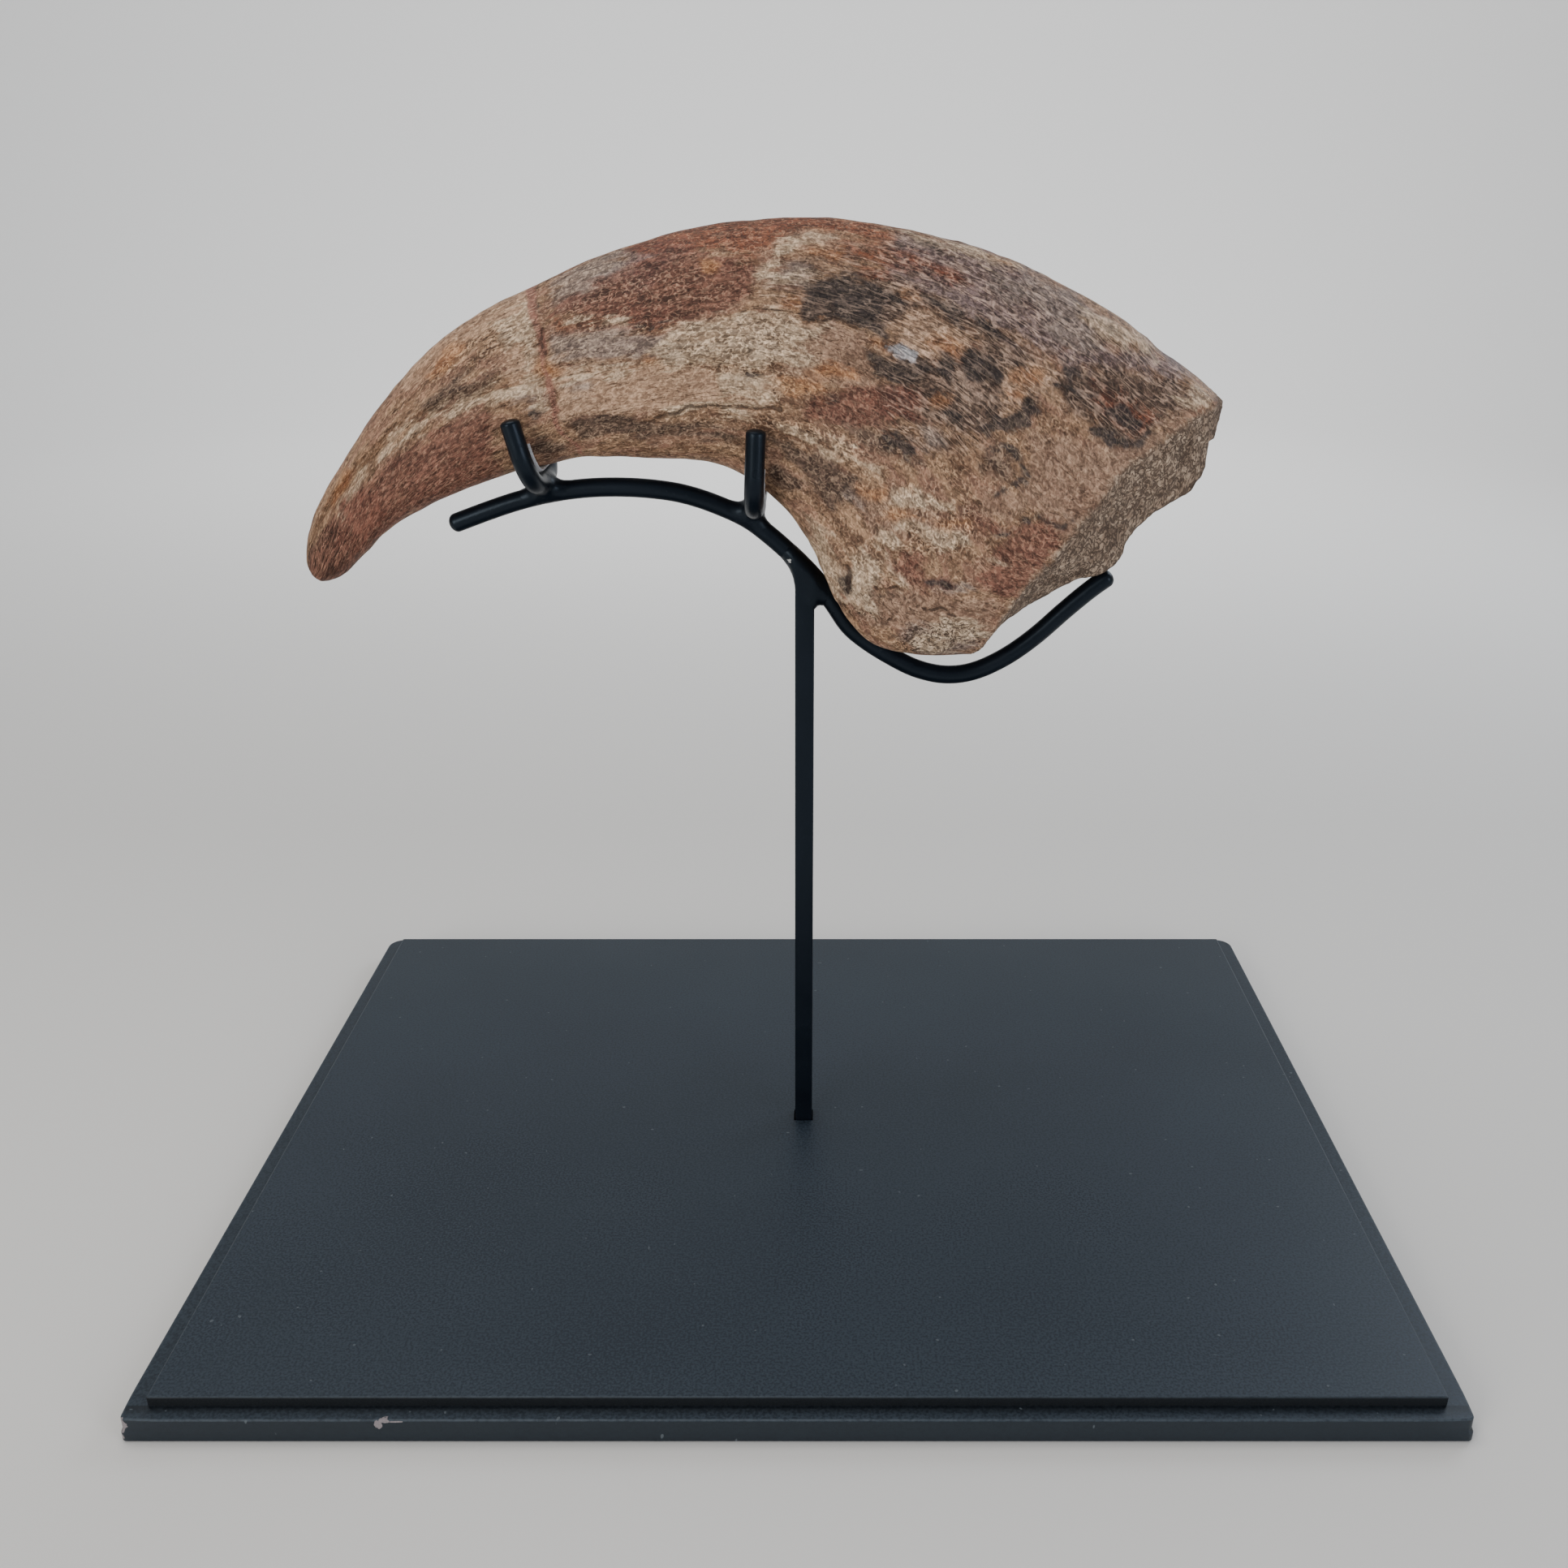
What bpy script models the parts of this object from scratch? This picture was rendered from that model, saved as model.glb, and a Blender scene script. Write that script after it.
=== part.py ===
# Fossil claw of a large meat-eating dinosaur, held up in a painted steel cradle on a stepped board.
# Metres, +Z up. The origin is the middle of the board's underside, the post stands over it,
# the claw's tip points to -X and the side that faces a viewer is -Y.

import math
from collections import namedtuple

import bmesh
import bpy
import numpy as np
from mathutils import Vector, noise

GAP = 0.0003

# Board: sheet of fibreboard with a shallow rebate cut round its top edge.
BOARD_WIDTH = 0.3048
BOARD_DEPTH = 0.2286
BOARD_THICKNESS = 0.0090
LEDGE_HEIGHT = 0.0064
LEDGE_WIDTH_SIDE = 0.0053
LEDGE_WIDTH_FRONT = 0.0042
BOARD_CORNER_FRONT = 0.0015
BOARD_CORNER_BACK = 0.0050
CORNER_STEPS = 8

# Post: square steel bar let into the board, drawn down by a countersunk screw from below.
POST_SIDE = 0.0049
POST_FOOT_X = -0.0005
POST_HEAD_X = 0.0010
POST_HEAD_HEIGHT = 0.1745
SOCKET_FLOOR = 0.0046
SCREW_HEAD_RADIUS = 0.0030
SCREW_HEAD_HEIGHT = 0.0017
SCREW_SHANK_RADIUS = 0.0014
SCREW_LENGTH = 0.0120
SCREW_RECESS = 0.0006
SCREW_SIDES = 16
COUNTERSINK_MARGIN = 0.0004

# Cradle: round steel rod bent in one plane to follow the claw's underside, tip end first (x, z).
ROD_RADIUS = 0.00238
ROD_STEP = 0.0052
ROD_OVERRUN = 0.0020
ROD_ROUTE = [
    (-0.0876, 0.1836), (-0.0781, 0.1871), (-0.0698, 0.1898), (-0.0616, 0.1917),
    (-0.0535, 0.1928), (-0.0455, 0.1931), (-0.0374, 0.1927), (-0.0294, 0.1915),
    (-0.0215, 0.1890), (-0.0135, 0.1853), (-0.0075, 0.1808), (-0.0014, 0.1752),
    (0.0040, 0.1695), (0.0082, 0.1634), (0.0120, 0.1577), (0.0164, 0.1538),
    (0.0225, 0.1498), (0.0295, 0.1462), (0.0370, 0.1445), (0.0445, 0.1454),
    (0.0525, 0.1492), (0.0600, 0.1548), (0.0672, 0.1616), (0.0733, 0.1670), (0.0787, 0.1711),
]

# Clips: two lengths of the same rod bent to a U and welded across the cradle.
# Each has the foot of its U in the middle plane (x, z), the lean of its arms in that plane from
# upright, half the distance between its arms, and the height of its arms above the foot.
Clip = namedtuple("Clip", "name foot_x foot_z lean half_span height")
CLIPS = [
    Clip("left", -0.0637, 0.1950, math.radians(-14), 0.0148, 0.0172),
    Clip("right", -0.0110, 0.1892, math.radians(3), 0.0165, 0.0206),
]
CLIP_BEND_RADIUS = 0.0095
CLIP_STEPS = 10
LINER_THICKNESS = 0.0005
LINER_WIDTH = 0.0048
LINER_ARM_SHARE = 0.12
WELD_LENGTH = 0.0052
WELD_WIDTH = 0.0030
WELD_HEIGHT = 0.0024
WELD_BELOW_CLIP = 0.0013
POST_WELD_X = 0.0030
POST_WELD_Z = 0.1674

# Claw: sections from the worn tip to the broken joint end. Each joins a point of the back
# (dorsal x, z) to a point of the belly (ventral x, z), both in the middle plane, and has the
# claw's half thickness there and how blunt the belly edge is (2 is an ellipse, more is flatter).
Section = namedtuple("Section", "dorsal_x dorsal_z ventral_x ventral_z half blunt")
SECTIONS = [
    Section(-0.1232, 0.1716, -0.1232, 0.1716, 0.0000, 2.0),
    Section(-0.1243, 0.1752, -0.1209, 0.1694, 0.0034, 2.0),
    Section(-0.1227, 0.1825, -0.1162, 0.1708, 0.0052, 2.1),
    Section(-0.1180, 0.1915, -0.1105, 0.1757, 0.0064, 2.2),
    Section(-0.1084, 0.2046, -0.1025, 0.1829, 0.0080, 2.3),
    Section(-0.0992, 0.2157, -0.0940, 0.1878, 0.0093, 2.4),
    Section(-0.0905, 0.2242, -0.0855, 0.1917, 0.0103, 2.4),
    Section(-0.0821, 0.2306, -0.0772, 0.1948, 0.0111, 2.4),
    Section(-0.0720, 0.2364, -0.0692, 0.1973, 0.0117, 2.4),
    Section(-0.0614, 0.2408, -0.0612, 0.1990, 0.0122, 2.4),
    Section(-0.0502, 0.2459, -0.0535, 0.2007, 0.0128, 2.4),
    Section(-0.0387, 0.2496, -0.0450, 0.2007, 0.0134, 2.4),
    Section(-0.0250, 0.2533, -0.0360, 0.2004, 0.0140, 2.4),
    Section(-0.0100, 0.2551, -0.0270, 0.2001, 0.0146, 2.5),
    Section(0.0050, 0.2556, -0.0180, 0.1984, 0.0153, 2.6),
    Section(0.0200, 0.2539, -0.0097, 0.1937, 0.0162, 2.8),
    Section(0.0350, 0.2508, -0.0029, 0.1873, 0.0172, 3.2),
    Section(0.0500, 0.2462, 0.0030, 0.1790, 0.0181, 4.2),
    Section(0.0630, 0.2404, 0.0076, 0.1704, 0.0186, 6.0),
    Section(0.0762, 0.2334, 0.0127, 0.1625, 0.0188, 7.0),
    Section(0.0860, 0.2260, 0.0196, 0.1559, 0.0188, 7.0),
    Section(0.0945, 0.2206, 0.0292, 0.1530, 0.0186, 6.5),
    Section(0.1024, 0.2140, 0.0403, 0.1527, 0.0184, 5.0),
]
# Joint end: outline of the broken face in the middle plane, from the heel up to the back (x, z),
# and the line on the viewer's side where the outer bone has broken away from the spongy core.
JOINT_OUTLINE = [
    (0.0403, 0.1527), (0.0448, 0.1545), (0.0525, 0.1606), (0.0605, 0.1661), (0.0685, 0.1705),
    (0.0760, 0.1726), (0.0799, 0.1768), (0.0812, 0.1812), (0.0870, 0.1875), (0.0965, 0.1932),
    (0.1000, 0.1980), (0.1008, 0.2060), (0.1024, 0.2140),
]
SPONGE_LINE = [
    (0.0452, 0.1560), (0.0494, 0.1640), (0.0540, 0.1717), (0.0586, 0.1768), (0.0625, 0.1817),
    (0.0686, 0.1902), (0.0730, 0.1958), (0.0767, 0.2006), (0.0844, 0.2055), (0.0912, 0.2102),
    (0.0990, 0.2138),
]
JOINT_BULGE_FROM = 13
FRONT_EDGE_SHARE = 0.24
BACK_EDGE_SHARE = 0.66
BACK_SPONGE_WIDTH = 0.0060
JOINT_HOLLOW = 0.0030
# Heel: the two low lobes that straddle the cradle, as a share of the section's half length.
HEEL_LOBE = 0.040
HEEL_LOBE_AT = 19.2
HEEL_LOBE_REACH = 2.2
# Side groove: where it crosses each section, from -1 at the belly to 1 at the back, and its depth.
GROOVE_ACROSS = [
    (2, 0.62), (3, 0.60), (4, 0.50), (5, 0.36), (6, 0.24), (7, 0.16), (8, 0.09), (9, 0.02),
    (10, -0.06), (12, -0.12), (14, -0.18), (16, -0.22),
]
GROOVE_DEPTH = 0.0011
GROOVE_WIDTH = 0.085
GROOVE_FADE = (1.5, 3.5, 11.0, 15.5)
RIDGE_HEIGHT = 0.0007
RIDGE_ABOVE = 0.14
# Slow swells of the surface that no formula of the outline gives.
SWELL = 0.0006
SWELL_SIZE = 0.016
BACK_BLUNT = 2.2
CLAW_ROWS = 60
CLAW_COLUMNS = 24
END_CROWDING = 0.28


def clear_scene():
    for obj in list(bpy.data.objects):
        bpy.data.objects.remove(obj)


def material(name, colour, roughness, metallic):
    made = bpy.data.materials.new(name)
    made.use_nodes = True
    shader = made.node_tree.nodes["Principled BSDF"]
    shader.inputs["Base Color"].default_value = (*colour, 1.0)
    shader.inputs["Roughness"].default_value = roughness
    shader.inputs["Metallic"].default_value = metallic
    return made


def add_object(name, mesh, finish, smooth_below=None):
    obj = bpy.data.objects.new(name, mesh)
    bpy.context.scene.collection.objects.link(obj)
    obj.data.materials.append(finish)
    if smooth_below is not None:
        obj.data.shade_smooth()
        obj.data.set_sharp_from_angle(angle=math.radians(smooth_below))
    return obj


def mesh_from(name, work):
    bmesh.ops.recalc_face_normals(work, faces=work.faces)
    mesh = bpy.data.meshes.new(name)
    work.to_mesh(mesh)
    work.free()
    return mesh


def hide_cutter(obj):
    obj.hide_render = True
    obj.display_type = "WIRE"


def boolean(obj, operation, other):
    step = obj.modifiers.new(operation.title() + " " + other.name, "BOOLEAN")
    step.operation = operation
    step.object = other
    hide_cutter(other)


def prism(name, outline, low, high, finish):
    """Upright prism over a flat outline of (x, y) points, counter-clockwise."""
    work = bmesh.new()
    face = work.faces.new([work.verts.new((x, y, low)) for x, y in outline])
    raised = bmesh.ops.extrude_face_region(work, geom=[face])["geom"]
    tops = [v for v in raised if isinstance(v, bmesh.types.BMVert)]
    bmesh.ops.translate(work, verts=tops, vec=(0, 0, high - low))
    return add_object(name, mesh_from(name, work), finish)


def rounded_rectangle(width, depth, back_radius, front_radius):
    points = []
    for turn, (sx, sy) in enumerate([(1, 1), (-1, 1), (-1, -1), (1, -1)]):
        radius = back_radius if sy > 0 else front_radius
        centre_x = sx * (width / 2 - radius)
        centre_y = sy * (depth / 2 - radius)
        for k in range(CORNER_STEPS + 1):
            angle = math.pi / 2 * (turn + k / CORNER_STEPS)
            points.append((centre_x + radius * math.cos(angle), centre_y + radius * math.sin(angle)))
    return points


def rectangle(width, depth):
    corners = [(-1, -1), (1, -1), (1, 1), (-1, 1)]
    return [(sx * width / 2, sy * depth / 2) for sx, sy in corners]


def catmull_rom(rows, at):
    """The value at a station of a smooth curve through all rows, which stand at 0, 1, 2 and so on."""
    last = len(rows) - 1
    k = min(max(int(at), 0), last - 1)
    t = at - k
    before, start = rows[max(k - 1, 0)], rows[k]
    end, after = rows[k + 1], rows[min(k + 2, last)]
    pull = (end - before) * 0.5
    push = (after - start) * 0.5
    return (
        start * (2 * t**3 - 3 * t**2 + 1) + pull * (t**3 - 2 * t**2 + t)
        + end * (3 * t**2 - 2 * t**3) + push * (t**3 - t**2)
    )


def along(points, step):
    """Evenly spaced points of a smooth curve through the given ones."""
    rows = [np.array(p, float) for p in points]
    fine = np.array([catmull_rom(rows, t) for t in np.linspace(0, len(rows) - 1, 40 * len(rows))])
    run = np.concatenate([[0], np.cumsum(np.linalg.norm(np.diff(fine, axis=0), axis=1))])
    count = max(2, round(run[-1] / step) + 1)
    marks = np.linspace(0, run[-1], count)
    return [tuple(np.interp(m, run, fine[:, axis]) for axis in range(fine.shape[1])) for m in marks]


def tube(name, points, radius, finish, sides_detail=3):
    """Round bar along (x, y, z) points, closed at both ends, as a mesh object."""
    curve = bpy.data.curves.new(name, "CURVE")
    curve.dimensions = "3D"
    curve.bevel_depth = radius
    curve.bevel_resolution = sides_detail
    curve.use_fill_caps = True
    spline = curve.splines.new("POLY")
    spline.points.add(len(points) - 1)
    for point, place in zip(spline.points, points):
        point.co = (*place, 1.0)
    guide = bpy.data.objects.new(name + "_guide", curve)
    bpy.context.scene.collection.objects.link(guide)
    bpy.context.view_layer.update()
    mesh = bpy.data.meshes.new_from_object(guide.evaluated_get(bpy.context.evaluated_depsgraph_get()))
    bpy.data.objects.remove(guide)
    mesh.name = name
    work = bmesh.new()
    work.from_mesh(mesh)
    bmesh.ops.remove_doubles(work, verts=work.verts, dist=1e-6)
    bmesh.ops.recalc_face_normals(work, faces=work.faces)
    work.to_mesh(mesh)
    work.free()
    mesh.materials.clear()
    return add_object(name, mesh, finish, 40)


def cradle_points(extra=0.0):
    """The rod's centre line, made longer at both ends by extra."""
    points = [Vector((x, 0, z)) for x, z in along(ROD_ROUTE, ROD_STEP)]
    points[0] += (points[0] - points[1]).normalized() * extra
    points[-1] += (points[-1] - points[-2]).normalized() * extra
    return points


def clip_frame(clip):
    up = Vector((math.sin(clip.lean), 0, math.cos(clip.lean)))
    return Vector((clip.foot_x, 0, clip.foot_z)), up, Vector((0, 1, 0))


def clip_path(clip, inset=0.0, share=1.0):
    """Centre line of a U clip from the front arm's end to the rear one's, moved inwards by inset."""
    foot, up, across = clip_frame(clip)
    bend = CLIP_BEND_RADIUS - inset
    half = clip.half_span - inset
    rise = bend + (clip.height - CLIP_BEND_RADIUS) * share
    flat = [(-half, rise)]
    for k in range(CLIP_STEPS + 1):
        angle = math.pi + math.pi / 2 * k / CLIP_STEPS
        flat.append((-(half - bend) + bend * math.cos(angle), bend + bend * math.sin(angle)))
    flat += [(-y, z) for y, z in reversed(flat)]
    return [foot + across * y + up * (z + inset) for y, z in flat]


def strip(name, path, width, thickness, sideways, finish):
    """Flat strip along a path: sideways is its width's direction, and it is thick across the path."""
    work = bmesh.new()
    rings = []
    for k, point in enumerate(path):
        forward = (path[min(k + 1, len(path) - 1)] - path[max(k - 1, 0)]).normalized()
        out = sideways.cross(forward).normalized()
        corners = [(-width, -thickness), (width, -thickness), (width, thickness), (-width, thickness)]
        rings.append([work.verts.new(point + sideways * (a / 2) + out * (b / 2)) for a, b in corners])
    for first, second in zip(rings, rings[1:]):
        for k in range(4):
            work.faces.new([first[k], first[(k + 1) % 4], second[(k + 1) % 4], second[k]])
    work.faces.new(rings[0])
    work.faces.new(rings[-1])
    return add_object(name, mesh_from(name, work), finish, 40)


def weld(name, place, direction, finish):
    """Low mound of weld metal, long in the given direction of the middle plane."""
    work = bmesh.new()
    bmesh.ops.create_icosphere(work, subdivisions=3, radius=1.0)
    ahead = direction.normalized()
    across = Vector((0, 1, 0))
    normal = Vector((-ahead.z, 0, ahead.x))
    for vertex in work.verts:
        a, b, c = vertex.co
        offset = ahead * (a * WELD_LENGTH) + across * (b * WELD_WIDTH) + normal * (c * WELD_HEIGHT)
        vertex.co = place + offset
    return add_object(name, mesh_from(name, work), finish)


def rod_direction(x):
    """Direction of the cradle rod where it passes x."""
    points = cradle_points()
    near = min(range(1, len(points) - 1), key=lambda k: abs(points[k].x - x))
    return points[near + 1] - points[near - 1]


def build_board(paint):
    lower = rounded_rectangle(BOARD_WIDTH, BOARD_DEPTH, BOARD_CORNER_BACK, BOARD_CORNER_FRONT)
    board = prism("base_board", lower, 0.0, LEDGE_HEIGHT, paint)
    top = rectangle(BOARD_WIDTH - 2 * LEDGE_WIDTH_SIDE, BOARD_DEPTH - 2 * LEDGE_WIDTH_FRONT)
    boolean(board, "UNION", prism("raised_field", top, LEDGE_HEIGHT / 2, BOARD_THICKNESS, paint))
    socket = rectangle(POST_SIDE + 2 * GAP, POST_SIDE + 2 * GAP)
    socket = [(x + POST_FOOT_X, y) for x, y in socket]
    pocket = prism("post_socket", socket, SOCKET_FLOOR, BOARD_THICKNESS + GAP, paint)
    boolean(board, "DIFFERENCE", pocket)
    head = SCREW_HEAD_RADIUS + COUNTERSINK_MARGIN
    shank = SCREW_SHANK_RADIUS + GAP
    cone_top = SCREW_RECESS + SCREW_HEAD_HEIGHT + COUNTERSINK_MARGIN
    profile = [(head, -GAP), (head, SCREW_RECESS + GAP), (shank, cone_top), (shank, SOCKET_FLOOR + GAP)]
    boolean(board, "DIFFERENCE", turned("screw_hole", profile, paint))
    return board


def turned(name, profile, finish):
    """Solid of revolution about the post's foot from (radius, z) points, bottom to top."""
    work = bmesh.new()
    rings = []
    for radius, z in profile:
        ring = []
        for k in range(SCREW_SIDES):
            angle = 2 * math.pi * k / SCREW_SIDES
            x = POST_FOOT_X + radius * math.cos(angle)
            ring.append(work.verts.new((x, radius * math.sin(angle), z)))
        rings.append(ring)
    for low, high in zip(rings, rings[1:]):
        for k in range(SCREW_SIDES):
            work.faces.new([low[k], low[(k + 1) % SCREW_SIDES], high[(k + 1) % SCREW_SIDES], high[k]])
    work.faces.new(list(reversed(rings[0])))
    work.faces.new(rings[-1])
    return add_object(name, mesh_from(name, work), finish)


def build_screw(steel):
    profile = [
        (SCREW_HEAD_RADIUS, SCREW_RECESS),
        (SCREW_HEAD_RADIUS, SCREW_RECESS + GAP),
        (SCREW_SHANK_RADIUS, SCREW_RECESS + SCREW_HEAD_HEIGHT),
        (SCREW_SHANK_RADIUS, SCREW_RECESS + SCREW_LENGTH),
    ]
    return turned("post_screw", profile, steel)


def build_post(paint):
    bottom = SOCKET_FLOOR + GAP
    post = prism("post", rectangle(POST_SIDE, POST_SIDE), bottom, POST_HEAD_HEIGHT, paint)
    lean = (POST_HEAD_X - POST_FOOT_X) / POST_HEAD_HEIGHT
    for vertex in post.data.vertices:
        vertex.co.x += POST_FOOT_X + lean * (vertex.co.z - bottom)
    boolean(post, "DIFFERENCE", space_above_rod(paint))
    toe = Vector((POST_WELD_X, 0, POST_WELD_Z))
    boolean(post, "UNION", weld("weld_post", toe, rod_direction(POST_WELD_X), paint))
    boolean(post, "DIFFERENCE", rod_clearance("post", paint))
    hole = SCREW_SHANK_RADIUS + GAP
    tapped = [(hole, SOCKET_FLOOR), (hole, SCREW_RECESS + SCREW_LENGTH + 2 * GAP)]
    boolean(post, "DIFFERENCE", turned("tapped_hole", tapped, paint))
    return post


def space_above_rod(finish):
    """Cutter that takes away whatever of the post would stand above the cradle rod."""
    route = cradle_points(ROD_OVERRUN)
    top = max(p.z for p in route) + POST_SIDE
    work = bmesh.new()
    lower = [work.verts.new((p.x, -POST_SIDE, p.z)) for p in route]
    upper = [work.verts.new((p.x, -POST_SIDE, top)) for p in route]
    for k in range(len(route) - 1):
        work.faces.new([lower[k], lower[k + 1], upper[k + 1], upper[k]])
    deep = bmesh.ops.extrude_face_region(work, geom=list(work.faces))["geom"]
    far = [v for v in deep if isinstance(v, bmesh.types.BMVert)]
    bmesh.ops.translate(work, verts=far, vec=(0, 2 * POST_SIDE, 0))
    return add_object("above_the_rod", mesh_from("above_the_rod", work), finish)


def rod_clearance(name, finish):
    """Cutter that keeps a welded piece clear of the cradle rod."""
    return tube("rod_clearance_" + name, cradle_points(ROD_OVERRUN), ROD_RADIUS + GAP, finish)


def build_cradle(paint):
    return tube("cradle_rod", cradle_points(), ROD_RADIUS, paint)


def build_clip(clip, paint, felt):
    body = tube("clip_" + clip.name, clip_path(clip), ROD_RADIUS, paint)
    foot, up, across = clip_frame(clip)
    direction = rod_direction(clip.foot_x)
    boolean(body, "UNION", weld("weld_" + clip.name, foot - up * WELD_BELOW_CLIP, direction, paint))
    boolean(body, "DIFFERENCE", rod_clearance(clip.name, paint))
    inset = ROD_RADIUS + GAP + LINER_THICKNESS / 2
    path = clip_path(clip, inset, LINER_ARM_SHARE)
    sideways = up.cross(across).normalized()
    strip("liner_" + clip.name, path, LINER_WIDTH, LINER_THICKNESS, sideways, felt)
    return body


class ClawShape:
    """Side outline and thickness of the claw as smooth functions of station and place across."""

    def __init__(self):
        self.rows = [np.array(s, float) for s in SECTIONS]
        self.last = len(SECTIONS) - 1
        heel = np.array(JOINT_OUTLINE[0])
        crown = np.array(JOINT_OUTLINE[-1])
        self.heel = heel
        self.length = np.linalg.norm(crown - heel)
        self.upward = (crown - heel) / self.length
        self.outward = np.array([self.upward[1], -self.upward[0]])
        self.joint = self.in_joint_frame(along(JOINT_OUTLINE, 0.001))
        self.sponge = self.in_joint_frame(along(SPONGE_LINE, 0.001))
        self.groove = np.array(GROOVE_ACROSS)

    def in_joint_frame(self, points):
        """(distance up the joint face, distance out from its chord) of side-plane points."""
        offset = np.array(points, float) - self.heel
        return np.stack([offset @ self.upward, offset @ self.outward], axis=1)

    def side_point(self, station, across):
        """Point in the side plane: across runs from -1 at the belly to 1 at the back."""
        row = catmull_rom(self.rows, station)
        share = (1 + across) / 2
        point = row[2:4] * (1 - share) + row[0:2] * share
        bulge = np.clip((station - JOINT_BULGE_FROM) / (self.last - JOINT_BULGE_FROM), 0, 1)
        bulge = bulge * bulge * (3 - 2 * bulge)
        up = share * self.length
        out = np.interp(up, self.joint[:, 0], self.joint[:, 1])
        return point + self.outward * out * bulge

    def lobed(self, station, across, angle):
        """Place across, pushed past the belly line on either side of the heel's channel."""
        near = max(0, 1 - ((station - HEEL_LOBE_AT) / HEEL_LOBE_REACH) ** 2)
        if across >= 0:
            return across
        return across - HEEL_LOBE * near**2 * 2 * math.sqrt(math.sin(angle)) * math.cos(angle) ** 3

    def edge_share(self, point, front):
        """How much of its thickness the claw keeps near the broken joint face."""
        up, out = self.in_joint_frame([point])[0]
        rim = np.interp(up, self.joint[:, 0], self.joint[:, 1])
        line = np.interp(up, self.sponge[:, 0], self.sponge[:, 1]) if front else rim - BACK_SPONGE_WIDTH
        least = FRONT_EDGE_SHARE if front else BACK_EDGE_SHARE
        reach = np.clip((rim - out) / max(rim - line, 1e-4), 0, 1)
        return least + (1 - least) * reach

    def half(self, station, across, angle, front):
        """Distance of the surface from the middle plane."""
        row = catmull_rom(self.rows, station)
        blunt = row[5] if across < 0 else BACK_BLUNT
        thick = max(row[4], 0) * math.sin(angle) ** (2 / blunt)
        fade_in, full_from, full_to, fade_out = GROOVE_FADE
        strength = np.interp(station, [fade_in, full_from, full_to, fade_out], [0, 1, 1, 0])
        centre = np.interp(station, self.groove[:, 0], self.groove[:, 1])
        dip = math.exp(-(((across - centre) / GROOVE_WIDTH) ** 2))
        lip = math.exp(-(((across - centre - RIDGE_ABOVE) / GROOVE_WIDTH) ** 2))
        thick += strength * (RIDGE_HEIGHT * lip - GROOVE_DEPTH * dip)
        point = self.side_point(station, across)
        side = -1 if front else 1
        swell = noise.noise(Vector((point[0], side * 0.03, point[1])) / SWELL_SIZE)
        thick += SWELL * swell * math.sin(angle)
        return max(thick, 0) * self.edge_share(point, front)


def stations(count, last):
    """Rows from tip to joint end, closer together at both ends."""
    even = np.linspace(0, 1, count + 1)[1:]
    crowded = (1 - np.cos(math.pi * even)) / 2
    return last * ((1 - END_CROWDING) * even + END_CROWDING * crowded)


def build_claw(bone):
    shape = ClawShape()
    work = bmesh.new()
    tip = work.verts.new((SECTIONS[0].dorsal_x, 0, SECTIONS[0].dorsal_z))
    rings = []
    for station in stations(CLAW_ROWS, shape.last):
        ring = []
        for k in range(2 * CLAW_COLUMNS):
            front = k <= CLAW_COLUMNS
            turn = k if front else 2 * CLAW_COLUMNS - k
            angle = math.pi * turn / CLAW_COLUMNS
            across = -math.cos(angle)
            x, z = shape.side_point(station, shape.lobed(station, across, angle))
            half = 0 if turn in (0, CLAW_COLUMNS) else shape.half(station, across, angle, front)
            ring.append(work.verts.new((x, -half if front else half, z)))
        rings.append(ring)
    around = 2 * CLAW_COLUMNS
    for k in range(around):
        work.faces.new([tip, rings[0][k], rings[0][(k + 1) % around]])
    for first, second in zip(rings, rings[1:]):
        for k in range(around):
            work.faces.new([first[k], second[k], second[(k + 1) % around], first[(k + 1) % around]])
    close_joint(work, rings[-1], shape)
    return add_object("claw", mesh_from("claw", work), bone, 50)


def close_joint(work, ring, shape):
    """Hollow joint face between the front and back edges of the last ring."""
    middle = []
    for k in range(1, CLAW_COLUMNS):
        front, back = ring[k].co, ring[2 * CLAW_COLUMNS - k].co
        depth = JOINT_HOLLOW * math.sin(math.pi * k / CLAW_COLUMNS)
        inward = Vector((-shape.outward[0], 0, -shape.outward[1]))
        middle.append(work.verts.new((front + back) / 2 + inward * depth))
    belly, back_edge = ring[0], ring[CLAW_COLUMNS]
    fronts = ring[1:CLAW_COLUMNS]
    backs = [ring[2 * CLAW_COLUMNS - k] for k in range(1, CLAW_COLUMNS)]
    for side in (fronts, backs):
        work.faces.new([belly, side[0], middle[0]])
        work.faces.new([back_edge, side[-1], middle[-1]])
        for k in range(len(middle) - 1):
            work.faces.new([side[k], side[k + 1], middle[k + 1], middle[k]])


def main():
    clear_scene()
    slate = material("slate_paint", (0.050, 0.060, 0.070), 0.45, 0.0)
    paint = material("black_paint", (0.022, 0.027, 0.034), 0.42, 0.0)
    steel = material("zinc_steel", (0.55, 0.55, 0.53), 0.38, 1.0)
    felt = material("pale_felt", (0.42, 0.42, 0.43), 0.9, 0.0)
    bone = material("fossil_bone", (0.33, 0.22, 0.15), 0.62, 0.0)
    build_board(slate)
    build_screw(steel)
    build_post(paint)
    build_cradle(paint)
    for clip in CLIPS:
        build_clip(clip, paint, felt)
    build_claw(bone)


main()
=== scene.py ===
import math
from collections import namedtuple

import bmesh
import bpy
import numpy as np
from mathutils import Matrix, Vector, noise


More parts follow.
